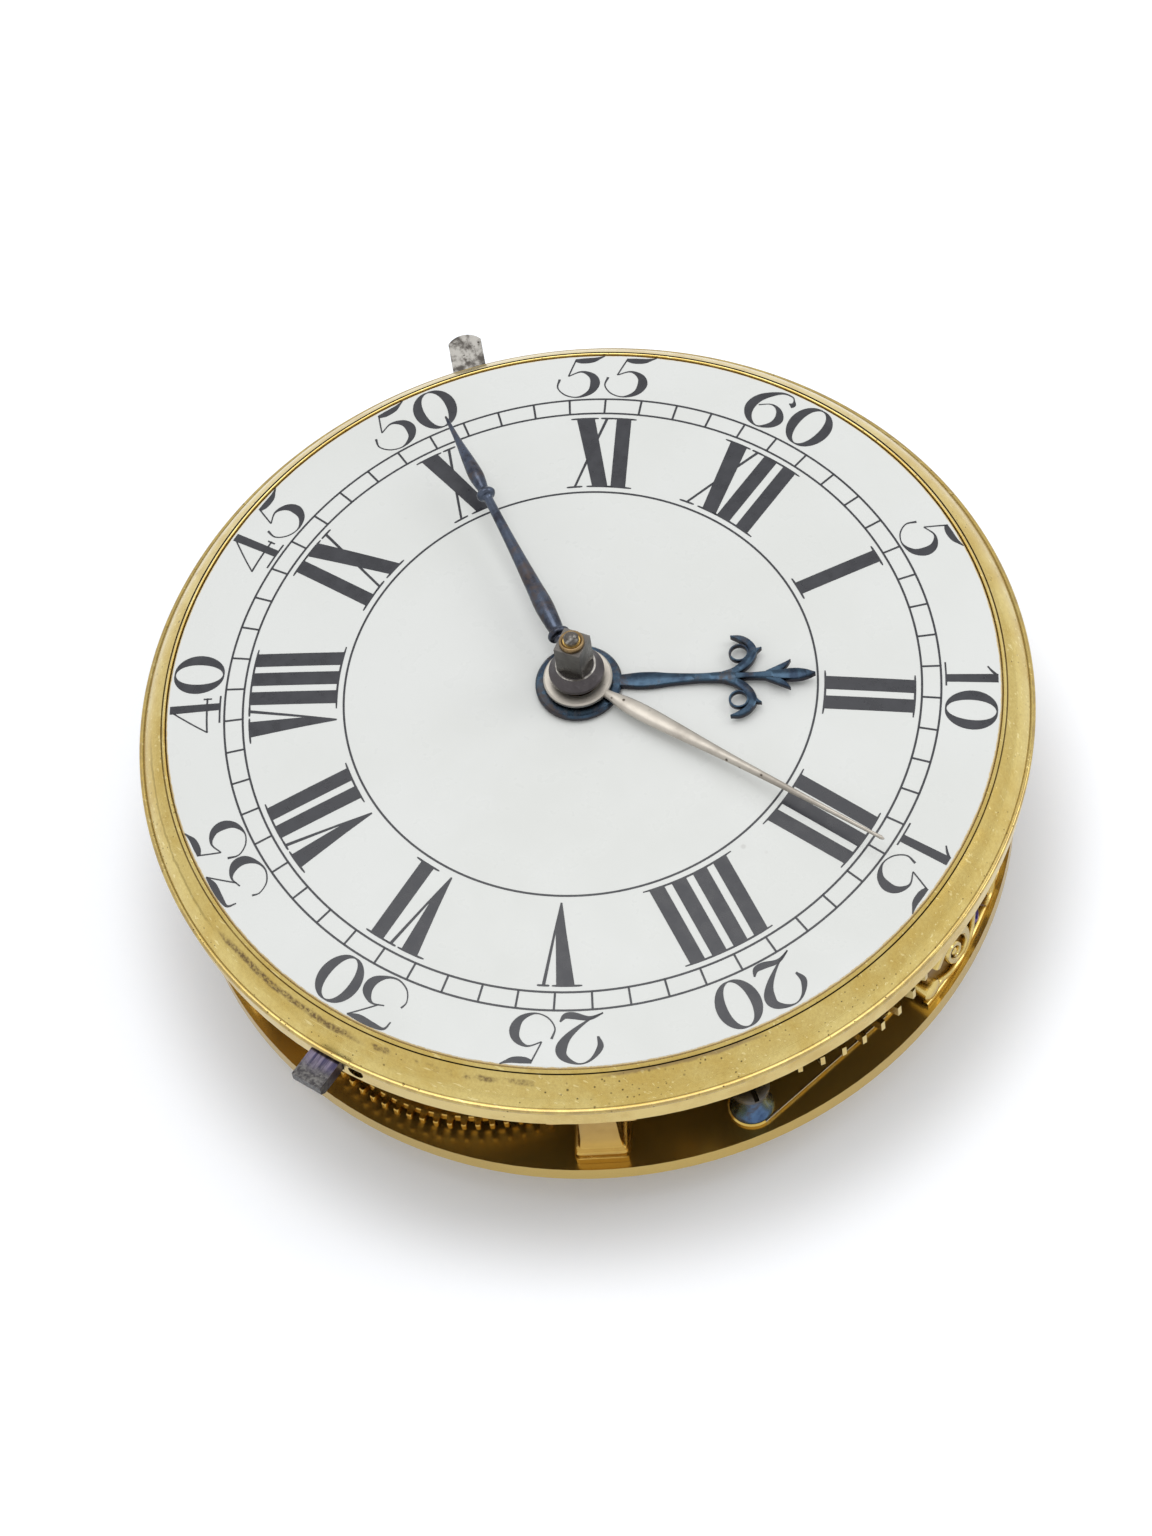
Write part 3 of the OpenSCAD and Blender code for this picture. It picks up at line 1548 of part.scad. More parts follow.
// The lever's tail is a fine spring that can touch the wheel behind the seconds hand
tail_l = norm(lever_p - fourth_p) - tip_r(seconds_n, seconds_mod, wheel_form) + 0.7;
tail_w = 0.2;
tail_z = seconds_z + 0.03;
tail_h = motion_t - 0.06;
tail_post_y = -1.5;
tail_post_r = 0.3;

module stop_lever() {
  end_r = lever_w * 0.62;
  end_y = lever_out_l - end_r;
  color(steel)
    at_point(lever_p)
      clock(lever_dir)
        difference() {
          union() {
            disc(lever_head_r, lever_z, lever_z + lever_t);
            intersection() {
              translate([-lever_w / 2, 0, lever_z])
                cube([lever_w, lever_out_l, lever_t]);
              union() {
                translate([-lever_w, 0, lever_z])
                  cube([2 * lever_w, end_y, lever_t]);
                translate([0, end_y, lever_z])
                  cylinder(r = end_r, h = lever_t);
              }
            }
            translate([-tail_post_r, tail_post_y, lever_z])
              cube([2 * tail_post_r, -tail_post_y, lever_t]);
            translate([0, tail_post_y, lever_z])
              cylinder(r = tail_post_r, h = tail_z + tail_h - lever_z);
            translate([-tail_w / 2, -tail_l, tail_z])
              cube([tail_w, tail_l + tail_post_y, tail_h]);
          }
          disc(lever_pivot_r + run, lever_z - eps, lever_z + lever_t + eps);
        }
}

module stop_lever_screw() {
  color(blued)
    at_point(lever_p) {
      disc(lever_pivot_r, lever_z - lever_well_gap / 3, lever_z + lever_t + run);
      translate([0, 0, lever_z + lever_t + run])
        screw(lever_head_r - 0.1, 0.28, small_shank_r, lever_t + run + pillar_plate_t + lever_z, 0.2);
    }
}

pillar_plate();
top_plate();
pillars();
pillar_pins();
dial_edge();
dial();
dial_pins();
case_joint();
barrel_drum();
barrel_cover();
barrel_arbor();
mainspring();
setup_wheel();
setup_worm();
worm_brackets();
barrel_bar();
bar_screws();
fusee_chain();
fusee_cone();
fusee_arbor();
great_wheel();
stop_bar();
stop_bar_screw();
scroll_bracket();
bracket_screw();
centre_arbor();
centre_wheel();
third_pinion();
third_wheel();
fourth_pinion();
fourth_wheel();
escape_pinion();
escape_wheel();
potence();
potence_screw();
balance_staff();
balance_wheel();
balance_spring();
spring_stud();
regulator();
balance_cock();
cock_screw();
endstone();
cannon_pinion();
cannon_bush();
minute_hand();
minute_wheel();
hour_wheel();
hour_hand();
seconds_driver();
seconds_idler();
seconds_wheel();
seconds_hand();
dial_studs();
bolt();
bolt_spring();
bolt_spring_screw();
stop_lever();
stop_lever_screw();
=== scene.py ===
"""Looks of the pocket watch movement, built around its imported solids.

Shapes are worked out in millimetres in the part's own frame (origin on the centre arbor, +Z out of the
dial, +Y to XII) and become metres when their mesh is made. Clock angles are degrees clockwise from XII.
"""

import bmesh
import bpy
import numpy as np
from mathutils import Matrix, Vector


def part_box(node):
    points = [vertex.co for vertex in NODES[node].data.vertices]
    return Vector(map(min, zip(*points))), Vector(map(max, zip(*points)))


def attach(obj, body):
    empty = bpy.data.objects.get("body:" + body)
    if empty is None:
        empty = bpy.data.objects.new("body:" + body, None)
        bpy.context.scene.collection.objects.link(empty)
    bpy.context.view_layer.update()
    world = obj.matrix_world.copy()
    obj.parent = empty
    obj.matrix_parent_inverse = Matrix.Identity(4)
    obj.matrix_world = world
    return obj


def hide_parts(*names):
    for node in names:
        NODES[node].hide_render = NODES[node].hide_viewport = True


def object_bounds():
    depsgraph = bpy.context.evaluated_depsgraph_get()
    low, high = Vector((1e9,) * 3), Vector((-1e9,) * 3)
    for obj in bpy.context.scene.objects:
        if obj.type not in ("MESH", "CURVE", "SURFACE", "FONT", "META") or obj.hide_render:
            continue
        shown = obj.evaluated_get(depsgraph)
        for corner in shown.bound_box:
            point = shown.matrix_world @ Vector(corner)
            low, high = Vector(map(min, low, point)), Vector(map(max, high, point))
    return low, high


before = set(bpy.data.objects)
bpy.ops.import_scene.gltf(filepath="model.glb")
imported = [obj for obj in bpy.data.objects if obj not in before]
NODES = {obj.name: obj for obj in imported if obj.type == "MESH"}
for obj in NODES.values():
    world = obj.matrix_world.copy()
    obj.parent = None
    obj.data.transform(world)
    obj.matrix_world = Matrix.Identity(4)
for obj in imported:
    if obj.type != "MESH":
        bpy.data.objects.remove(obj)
cad_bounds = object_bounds()
MM = 0.001
TURN = 2 * np.pi


# Arrays and meshes

MERGE_M = 2e-7
SLIVER_M = 1e-8
SHARP_ANGLE = 32.0
JUST_SHORT = 1e-9
FLAT_SECTION = np.array([[-1, 0], [1, 0], [1, 1], [-1, 1]], float)
BEVEL_ROUND = 0.3
SWELL = 1.4


def box_mm(node):
    """Lowest and highest corner of a solid, in millimetres."""
    low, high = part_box(node)
    return np.array(low) / MM, np.array(high) / MM


def middle_mm(node):
    """Centre of a solid's box, in millimetres."""
    low, high = box_mm(node)
    return (low + high) / 2


def levels_mm(node):
    """Heights of a solid's underside and top, in millimetres."""
    low, high = box_mm(node)
    return low[2], high[2]


def spline(points, steps):
    """Catmull-Rom curve through rows of numbers: each stretch is a cubic whose slope at a row is half the
    difference of its neighbours. It stops just short of the last row, so that every point has its stretch."""
    p = np.asarray(points, float)
    p = np.vstack([2 * p[0] - p[1], p, 2 * p[-1] - p[-2]])
    t = np.linspace(0, len(p) - 3 - JUST_SHORT, steps)
    i = t.astype(int)
    f = (t - i)[:, None]
    a, b, c, d = p[i], p[i + 1], p[i + 2], p[i + 3]
    return 0.5 * (2 * b + (c - a) * f + (2 * a - 5 * b + 4 * c - d) * f**2
                  + (3 * b - a - 3 * c + d) * f**3)


def sideways(path):
    """Unit normals of a flat path, to its left."""
    t = np.gradient(path, axis=0)
    n = np.stack([-t[:, 1], t[:, 0]], 1)
    return n / np.linalg.norm(n, axis=1, keepdims=True)


def clock_xy(x, y, angle):
    """Turns a local point (x clockwise, y outwards) to a clock angle."""
    a = np.radians(angle)
    return y * np.sin(a) + x * np.cos(a), y * np.cos(a) - x * np.sin(a)


def full_turn(count):
    """Angles evenly spaced round a circle."""
    return np.linspace(0, TURN, count, endpoint=False)


def around(centre, r, a, third):
    """Points at radius r and angle a (anticlockwise from +X) about centre, each with a third number."""
    x, y = centre[0] + r * np.cos(a), centre[1] + r * np.sin(a)
    return np.stack(np.broadcast_arrays(x, y, third), -1)


def grid(points, close_u=False, close_v=False, caps=False):
    """A surface as an array of points (u, v, xyz), with its two directions open or closed."""
    return {"p": np.asarray(points, float), "cu": close_u, "cv": close_v, "caps": caps}


def tube(points):
    """A surface that is closed across (v) and has a flat cap on each end."""
    return grid(points, close_v=True, caps=True)


def grid_faces(g, start):
    """Four-sided faces between neighbouring rows and columns, and a flat cap on each open end of a tube."""
    nu, nv = g["p"].shape[:2]
    i = np.arange(nu if g["cu"] else nu - 1)[:, None]
    j = np.arange(nv if g["cv"] else nv - 1)[None, :]
    i1, j1 = (i + 1) % nu, (j + 1) % nv
    quads = np.stack([i * nv + j, i1 * nv + j, i1 * nv + j1, i * nv + j1], -1).reshape(-1, 4) + start
    faces = quads.tolist()
    if g["caps"]:
        faces.append(list(range(start + nv - 1, start - 1, -1)))
        faces.append(list(range(start + (nu - 1) * nv, start + nu * nv)))
    return faces


def add_object(name, data):
    """A new object in the scene, from its mesh, lamp or camera data."""
    obj = bpy.data.objects.new(name, data)
    bpy.context.scene.collection.objects.link(obj)
    return obj


def piece(name, grids, material, body, replaces=()):
    """One object from several surfaces: poles are merged, normals turned outwards, and sharp edges kept
    crisp."""
    points, faces, start = [], [], 0
    for g in grids:
        points.append(g["p"].reshape(-1, 3))
        faces += grid_faces(g, start)
        start += len(points[-1])
    mesh = bpy.data.meshes.new(name)
    mesh.from_pydata((np.vstack(points) * MM).tolist(), [], faces)
    work = bmesh.new()
    work.from_mesh(mesh)
    bmesh.ops.remove_doubles(work, verts=work.verts, dist=MERGE_M)
    bmesh.ops.dissolve_degenerate(work, edges=work.edges, dist=SLIVER_M)
    bmesh.ops.recalc_face_normals(work, faces=work.faces)
    work.to_mesh(mesh)
    work.free()
    mesh.shade_smooth()
    mesh.set_sharp_from_angle(angle=np.radians(SHARP_ANGLE))
    mesh.materials.append(material)
    obj = add_object(name, mesh)
    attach(obj, body)
    if replaces:
        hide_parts(*replaces)


def turned(profile, centre=(0, 0), segments=192):
    """Profile of (radius, height) carried round an upright axis: (x, y) = centre + radius (cos a, sin a)."""
    r, z = np.asarray(profile, float).T
    a = full_turn(segments)[:, None]
    return grid(around(centre, r, a, z), close_u=True, close_v=True)


def bevelled_section(bevel):
    """Corners of a bar's section, (across, up) in -1..1 and 0..1, with both upper edges rounded off."""
    flat, mid = 1 - bevel, 1 - BEVEL_ROUND * bevel
    return np.array([[-1, 0], [1, 0], [1, flat], [mid, mid], [flat, 1], [-flat, 1], [-mid, mid], [-1, flat]])


def brush(points, low, high, steps=40, bevel=0.0, closed=False):
    """A pen stroke: rows of (x, y, width) make a smooth path, and a flat or bevelled section of that width is
    carried along it between two heights."""
    c = spline(points, steps) if not closed else np.asarray(points, float)
    path = c[:, :2]
    if closed:
        t = np.roll(path, -1, 0) - np.roll(path, 1, 0)
        n = np.stack([-t[:, 1], t[:, 0]], 1) / np.linalg.norm(t, axis=1, keepdims=True)
    else:
        n = sideways(path)
    s = bevelled_section(bevel) if bevel else FLAT_SECTION
    half = c[:, 2][:, None, None] / 2
    xy = path[:, None, :] + n[:, None, :] * half * s[None, :, :1]
    z = low + (high - low) * s[None, :, 1] + 0 * xy[..., 0]
    return grid(np.concatenate([xy, z[..., None]], -1), close_u=closed, close_v=True, caps=not closed)


def moved(g, change):
    """The same surface with its points changed by a function of x, y and z."""
    x, y, z = np.moveaxis(g["p"], -1, 0)
    return dict(g, p=np.stack(change(x, y, z), -1))


def turned_to(g, angle, centre=(0, 0)):
    """The same surface, drawn along +Y, turned to a clock angle about an upright axis through centre."""
    def lay(x, y, z):
        across, out = clock_xy(x, y, angle)
        return centre[0] + across, centre[1] + out, z
    return moved(g, lay)


def on_axis(rows):
    """Rows of (y, width) as a path straight along +Y."""
    return np.insert(np.array(rows), 0, 0.0, axis=1)


def ring_path(radius_x, radius_y, thick, thin, centre=(0, 0), steps=64):
    """Closed oval path whose width swells from thin at its top and bottom to thick at its sides."""
    a = full_turn(steps)
    w = thin + (thick - thin) * np.abs(np.cos(a))**SWELL
    return np.stack([centre[0] + radius_x * np.cos(a), centre[1] + radius_y * np.sin(a), w], 1)


# Shading helpers

WHITE = (1.0, 1.0, 1.0, 1.0)


def linear(colour):
    """Colour written as 0..255 screen values, as the renderer's linear colour."""
    c = np.array(colour) / 255.0
    c = np.where(c <= 0.04045, c / 12.92, ((c + 0.055) / 1.055)**2.4)
    return (*c.tolist(), 1.0)


class Shade:
    """Short names for the nodes of one material or group."""

    def __init__(self, tree):
        self.tree = tree

    def node(self, kind, **sockets):
        n = self.tree.nodes.new(kind)
        for name, value in sockets.items():
            self.put(n.inputs[name.replace("_", " ")], value)
        return n

    def put(self, socket, value):
        if isinstance(value, bpy.types.NodeSocket):
            self.tree.links.new(value, socket)
        else:
            socket.default_value = value

    def place(self):
        return self.node("ShaderNodeTexCoord").outputs["Object"]

    def xyz(self):
        return self.node("ShaderNodeSeparateXYZ", Vector=self.place()).outputs

    def noise(self, scale, detail=4.0, rough=0.55, at=None, warp=0.0):
        n = self.node("ShaderNodeTexNoise", Scale=scale, Detail=detail, Roughness=rough, Distortion=warp)
        self.put(n.inputs["Vector"], at or self.place())
        return n.outputs["Fac"]

    def cells(self, scale):
        return self.node("ShaderNodeTexVoronoi", Scale=scale, Vector=self.place()).outputs["Distance"]

    def between(self, value, low, high, to_low=0.0, to_high=1.0):
        n = self.node("ShaderNodeMapRange")
        n.interpolation_type = "SMOOTHSTEP"
        for i, v in enumerate((value, low, high, to_low, to_high)):
            self.put(n.inputs[i], v)
        return n.outputs[0]

    def math(self, what, a, b=0.0):
        n = self.node("ShaderNodeMath")
        n.operation = what
        self.put(n.inputs[0], a)
        self.put(n.inputs[1], b)
        return n.outputs[0]

    def times(self, a, b):
        return self.math("MULTIPLY", a, b)

    def plus(self, a, b):
        return self.math("ADD", a, b)

    def less(self, a, b):
        return self.math("SUBTRACT", a, b)

    def larger(self, a, b):
        return self.math("MAXIMUM", a, b)

    def mix(self, share, *colours):
        n = self.node("ShaderNodeMix")
        n.data_type = "RGBA"
        self.put(n.inputs["Factor"], share)
        for socket, colour in zip(n.inputs[6:8], colours):
            self.put(socket, linear(colour) if isinstance(colour, tuple) else colour)
        return n.outputs[2]

    def bump(self, height, strength, distance):
        n = self.node("ShaderNodeBump", Strength=strength, Distance=distance, Height=height)
        return n.outputs["Normal"]


def group(name, inputs, outputs, fill):
    """A shared effect: a node group with named number inputs and outputs."""
    tree = bpy.data.node_groups.new(name, "ShaderNodeTree")
    for label, value in inputs.items():
        s = tree.interface.new_socket(label, in_out="INPUT", socket_type="NodeSocketFloat")
        s.default_value = value
    for label in outputs:
        tree.interface.new_socket(label, in_out="OUTPUT", socket_type="NodeSocketFloat")
    shade = Shade(tree)
    came = tree.nodes.new("NodeGroupInput").outputs
    gone = tree.nodes.new("NodeGroupOutput").inputs
    for label, value in fill(shade, came).items():
        shade.put(gone[label], value)
    return tree


def use(shade, tree, **values):
    """Places a shared effect in a material, with its own values."""
    n = shade.tree.nodes.new("ShaderNodeGroup")
    n.node_tree = tree
    for label, value in values.items():
        shade.put(n.inputs[label], value)
    return n.outputs


def from_axis(s):
    """Distance from the centre arbor, in metres."""
    x, y, z = s.xyz()
    return s.math("SQRT", s.plus(s.times(x, x), s.times(y, y)))


def fill_pits(s, came):
    """Small dark pits: centres of cells, let through only where a slow noise is high."""
    dots = s.between(s.cells(came["Scale"]), 0.05, 0.16, 1.0, 0.0)
    slow = s.noise(s.times(came["Scale"], 0.13), 2.0)
    where = s.between(slow, came["Rarity"], s.plus(came["Rarity"], 0.1))
    return {"Mask": s.times(dots, where)}


def fill_clouds(s, came):
    """Slow stains: two noises of different size, pushed to soft patches."""
    slow = s.noise(came["Scale"], 5.0, 0.6, warp=0.8)
    fine = s.noise(s.times(came["Scale"], 6.0), 4.0, 0.6)
    both = s.plus(s.times(slow, 0.7), s.times(fine, 0.3))
    return {"Mask": s.between(both, came["Low"], came["High"])}


def fill_turning(s, came):
    """Fine rings left by the lathe, about the centre arbor: noise along the distance from it, and a little
    along the height."""
    along = s.node("ShaderNodeCombineXYZ", X=from_axis(s), Y=s.times(s.xyz()[2], 0.6), Z=0.0)
    return {"Height": s.noise(came["Scale"], 3.0, 0.7, at=along.outputs[0])}


def fill_scratches(s, came):
    """Short hair scratches: noise stretched along one slanted direction and cut to its crests."""
    turn = s.node("ShaderNodeMapping", Vector=s.place(), Rotation=(0.3, 0.5, 0.7), Scale=(1.0, 14.0, 14.0))
    lines = s.noise(came["Scale"], 2.0, 0.5, at=turn.outputs[0], warp=0.4)
    return {"Mask": s.between(lines, came["Low"], s.plus(came["Low"], 0.06))}


PITS = group("small pits", {"Scale": 2500.0, "Rarity": 0.6}, ["Mask"], fill_pits)
CLOUDS = group("stains", {"Scale": 150.0, "Low": 0.4, "High": 0.65}, ["Mask"], fill_clouds)
TURNING = group("lathe rings", {"Scale": 9000.0}, ["Height"], fill_turning)
SCRATCHES = group("hair scratches", {"Scale": 300.0, "Low": 0.66}, ["Mask"], fill_scratches)


def stained(s, scale, low, high):
    return use(s, CLOUDS, Scale=scale, Low=low, High=high)["Mask"]


def pitted(s, scale, rarity):
    return use(s, PITS, Scale=scale, Rarity=rarity)["Mask"]


def scratched(s, low):
    return use(s, SCRATCHES, Scale=420.0, Low=low)["Mask"]


def radius_mm(s):
    """Distance from the centre arbor, in millimetres."""
    return s.math("DIVIDE", from_axis(s), MM)


def towards(s, angle):
    """How far a point lies in one clock direction, in millimetres."""
    x, y, z = s.xyz()
    a = np.radians(angle)
    return s.math("DIVIDE", s.plus(s.times(x, float(np.sin(a))), s.times(y, float(np.cos(a)))), MM)


def beside(s, angle, far, near, most=1.0):
    """Grows from 0 to most as a point's reach in one clock direction grows from far to near."""
    return s.between(towards(s, angle), far, near, 0.0, most)


def near_ring(s, r, at, inner, outer):
    """1 on a circle of radius at, falling to 0 between the distances inner and outer from it."""
    return s.between(s.math("ABSOLUTE", s.less(r, at)), inner, outer, 1.0, 0.0)


# Sizes that the looks share with the solids, in millimetres

dial_low, dial_high = box_mm("dial")
ring_high = box_mm("dial_edge")[1]
DIAL_R = dial_high[0]
DIAL_T = 0.7
DIAL_HOLE_R = 1.65
DOME = 1.0
DIAL_EDGE_Z = dial_high[2] - DOME * (1 - (DIAL_HOLE_R / DIAL_R)**2)
EDGE_R = ring_high[0]
LIP_Z = ring_high[2]
LIP_IN_R = DIAL_R + 0.03
LIP_W = 0.14
GROOVE_W = 0.06
GROOVE_R = LIP_IN_R + LIP_W + GROOVE_W / 2
BAND_R = LIP_IN_R + LIP_W + GROOVE_W
BAND_W = 1.04
BEAD_R = BAND_R + BAND_W
BEAD_H = 0.26
RUBBED_R = 20.44
BOLT_WORN_Y = (21.95, 22.85)


def dome_z(r):
    """Height of the dial's face: a shallow bowl upside down, edge height + dome (1 - (r / R)^2)."""
    return DIAL_EDGE_Z + DOME * (1 - (r / DIAL_R)**2)


# Materials

def new_material(name, **sockets):
    """Empty material with a main shader, and the short names for its nodes."""
    m = bpy.data.materials.new(name)
    m.use_nodes = True
    shader = m.node_tree.nodes["Principled BSDF"]
    shade = Shade(m.node_tree)
    for label, value in sockets.items():
        shade.put(shader.inputs[label.replace("_", " ")], value)
    return m, shade, shader.inputs


def metal(name, bright, dull, rough=(0.18, 0.36), stains=(140.0, 0.42, 0.68), pits=(2600.0, 0.62),
          pit=(40, 28, 14), scratch=0.68, rings=0.0, bare=1.0):
    """Metal with dull stains, dark pits, hair scratches and, on turned pieces, lathe rings. Bare is the share
    that mirrors as metal, and the rest a film of old dirt."""
    m, s, out = new_material(name, Metallic=bare)
    stain, hole, scuff = stained(s, *stains), pitted(s, *pits), scratched(s, scratch)
    shine = tuple(min(255, int(c * 1.12)) for c in bright)
    colour = s.mix(s.times(scuff, 0.35), s.mix(stain, bright, dull), shine)
    s.put(out["Base Color"], s.mix(s.times(hole, 0.85), colour, pit))
    wear = s.plus(s.between(stain, 0.0, 1.0, *rough), s.times(scuff, 0.08))
    s.put(out["Roughness"], s.plus(wear, s.times(hole, 0.3)))
    height = s.less(s.times(s.noise(6000.0, 3.0), 0.25), hole)
    if rings:
        height = s.plus(height, s.times(use(s, TURNING, Scale=9000.0)["Height"], rings))
    s.put(out["Normal"], s.bump(height, strength=0.22, distance=2e-5))
    return m


EDGE_COLOURS = {
    "gilt": (208, 187, 118), "dull": (196, 169, 94), "brown": (168, 136, 70), "grain": (160, 132, 72),
    "scuff": (238, 222, 164), "bead": (170, 148, 98), "rubbed": (116, 96, 66), "band_painted_shade": (128, 108, 52),
    "patch": (118, 98, 82), "dirt": (64, 42, 18), "pit": (58, 42, 22),
}


def gilt_edge_material():
    """Gilding of the ring round the dial: lathe rings, a speckled rubbed line along its band beside the bolt,
    a faint greenish line of painted shade along the bowed band, pits that crowd near IIII, brown stains, a
    worn bead, and dirt in the groove and above the bead."""
    m, s, out = new_material("gilding, rubbed", Metallic=1.0)
    r = radius_mm(s)
    sway = s.plus(r, s.times(s.less(s.noise(900.0, 4.0, 0.65), 0.5), 0.26))
    speckle = s.between(s.noise(6500.0, 5.0, 0.7), 0.36, 0.6, 0.25, 1.0)
    sparse = s.times(beside(s, 170, 18.6, 20.0), s.between(s.noise(800.0, 3.0), 0.49, 0.6, 0.0, 0.9))
    along = s.larger(beside(s, 188.5, 19.86, 20.2), sparse)
    rubbed = s.times(s.times(near_ring(s, sway, RUBBED_R, 0.05, 0.16), along), speckle)
    # Painted shade: a faint greenish dark line along the bowed band, towards VII
    band_painted_shade = s.times(near_ring(s, sway, RUBBED_R + 0.2, 0.02, 0.07), beside(s, 218, 19.7, 20.3, 0.5))
    patch = s.times(near_ring(s, sway, BAND_R + 0.04, 0.02, 0.14), beside(s, 132.5, 19.75, 20.0, 0.6))
    dirty = s.between(s.noise(60.0), 0.35, 0.6, 0.6, 0.95)
    groove = s.times(near_ring(s, r, GROOVE_R, 0.025, 0.045), dirty)
    corner = s.times(near_ring(s, r, BEAD_R + 0.02, 0.015, 0.05), 0.6)
    worn_bead = s.between(s.noise(1500.0, 5.0, 0.68), 0.36, 0.62, 0.35, 1.0)
    bead = s.times(s.between(r, BEAD_R + 0.05, BEAD_R + 0.09), worn_bead)
    stain, brown = stained(s, 170.0, 0.42, 0.66), stained(s, 520.0, 0.56, 0.74)
    grain = s.between(s.noise(7000.0, 4.0, 0.7), 0.36, 0.66)
    crowd = s.times(pitted(s, 2300.0, 0.36), beside(s, 137, 19.4, 20.2))
    hole = s.larger(crowd, s.larger(pitted(s, 1700.0, 0.52), pitted(s, 3000.0, 0.43)))
    scuff = scratched(s, 0.64)
    colour = s.mix(stain, EDGE_COLOURS["gilt"], EDGE_COLOURS["dull"])
    for share, name in ((s.times(brown, 0.42), "brown"), (s.times(grain, 0.24), "grain"),
                        (s.times(scuff, 0.5), "scuff"), (bead, "bead"), (rubbed, "rubbed"), (band_painted_shade, "band_painted_shade"),
                        (patch, "patch"), (s.larger(groove, corner), "dirt"), (s.times(hole, 0.8), "pit")):
        colour = s.mix(share, colour, EDGE_COLOURS[name])
    s.put(out["Base Color"], colour)
    s.put(out["Roughness"], s.plus(s.between(stain, 0.0, 1.0, 0.17, 0.27), s.times(rubbed, 0.3)))
    rings = s.times(use(s, TURNING, Scale=7000.0)["Height"], 0.6)
    height = s.less(s.plus(rings, s.times(scuff, 0.3)), s.times(hole, 1.5))
    s.put(out["Normal"], s.bump(height, strength=0.25, distance=2.5e-5))
    return m


# Dark grey painted shade for the sides of a flat blued piece
BLUED_SIDE_PAINTED_SHADE = (58, 54, 58)
BLUED_PIT = (56, 44, 40)


def blued_material(name, blue, deep, brown, brown_share, top_z=None, bare=1.0):
    """Heat-blued steel: blue that turns deeper and brown where the heat or wear differed, and a dark painted
    shade on the edges of a flat piece, below its top face. Bare is the share that mirrors as metal."""
    m, s, out = new_material(name, Metallic=bare)
    heat, fine = s.noise(420.0, 5.0, 0.65, warp=0.8), s.noise(2600.0, 4.0, 0.6)
    both = s.plus(s.times(heat, 0.7), s.times(fine, 0.3))
    worn, hole = stained(s, 620.0, 0.47, 0.64), pitted(s, 3200.0, 0.48)
    colour = s.mix(s.between(both, 0.4, 0.6), blue, deep)
    colour = s.mix(s.times(worn, brown_share), colour, brown)
    # Painted shade: the sides and lower bevels of a flat piece, below its top face, are darkened
    if top_z is not None:
        z = s.math("DIVIDE", s.xyz()[2], MM)
        side = s.between(z, top_z - 0.13, top_z - 0.06, 0.8, 0.0)
        colour = s.mix(side, colour, BLUED_SIDE_PAINTED_SHADE)
    s.put(out["Base Color"], s.mix(s.times(hole, 0.8), colour, BLUED_PIT))
    s.put(out["Roughness"], s.plus(s.between(worn, 0.0, 1.0, 0.26, 0.46), s.times(hole, 0.3)))
    height = s.less(s.times(s.noise(4200.0, 4.0), 0.5), hole)
    s.put(out["Normal"], s.bump(height, strength=0.35, distance=2.5e-5))
    return m


def bolt_material():
    """Steel of the bolt: violet with fine filed lines next to the ring, worn to speckled grey towards its
    end."""
    m, s, out = new_material("bolt steel", Metallic=1.0)
    lines = s.node("ShaderNodeMapping", Vector=s.place(), Scale=(1.0, 0.04, 0.04)).outputs[0]
    filed = s.between(s.noise(7600.0, 4.0, 0.65, at=lines), 0.38, 0.66)
    speckle = s.between(s.noise(5200.0, 5.0, 0.7), 0.34, 0.64)
    reach = s.plus(towards(s, 180), s.times(s.noise(1500.0, 4.0), 0.7))
    worn = s.between(reach, *BOLT_WORN_Y)
    violet = s.mix(filed, (54, 51, 71), (100, 93, 108))
    grey = s.mix(speckle, (54, 52, 55), (102, 100, 98))
    s.put(out["Base Color"], s.mix(worn, violet, grey))
    s.put(out["Roughness"], s.between(worn, 0.0, 1.0, 0.3, 0.42))
    s.put(out["Normal"], s.bump(s.mix(worn, filed, speckle), strength=0.3, distance=2.5e-5))
    return m


def enamel_material():
    """Fired white enamel: faint warm clouds, a few black specks, a gently uneven glassy surface, and a ragged
    tan rim where the enamel ends."""
    m, s, out = new_material("white enamel", Metallic=0.0, Specular_IOR_Level=0.3)
    cloud = s.between(s.noise(90.0, 4.0, 0.6), 0.35, 0.7)
    ragged = s.times(s.noise(2600.0, 4.0, 0.7), 0.16)
    rim = s.between(s.plus(radius_mm(s), ragged), DIAL_R - 0.06, DIAL_R)
    colour = s.mix(cloud, (226, 228, 226), (222, 224, 221))
    colour = s.mix(s.times(rim, 0.85), colour, (214, 186, 118))
    speck = s.times(pitted(s, 900.0, 0.7), 0.5)
    s.put(out["Base Color"], s.mix(speck, colour, (120, 108, 96)))
    s.put(out["Roughness"], s.between(s.noise(700.0, 3.0), 0.3, 0.7, 0.26, 0.36))
    s.put(out["Normal"], s.bump(s.noise(260.0, 2.0), strength=0.05, distance=5e-5))
    return m


def numeral_material():
    """Black enamel paint of the numerals, thin and a little uneven."""
    m, s, out = new_material("black enamel paint", Metallic=0.0)
    thin = s.noise(1500.0, 5.0, 0.6)
    s.put(out["Base Color"], s.mix(s.between(thin, 0.3, 0.75), (39, 40, 46), (48, 49, 55)))
    s.put(out["Roughness"], s.between(thin, 0.3, 0.7, 0.24, 0.4))
    s.put(out["Normal"], s.bump(thin, strength=0.06, distance=1e-5))
    return m


def garnet_material():
    """Polished red stone with faint clouds inside."""
    m, s, out = new_material("garnet", Metallic=0.0, Roughness=0.05)
    s.put(out["Base Color"], s.mix(s.noise(900.0, 4.0), (150, 20, 40), (96, 8, 26)))
    return m


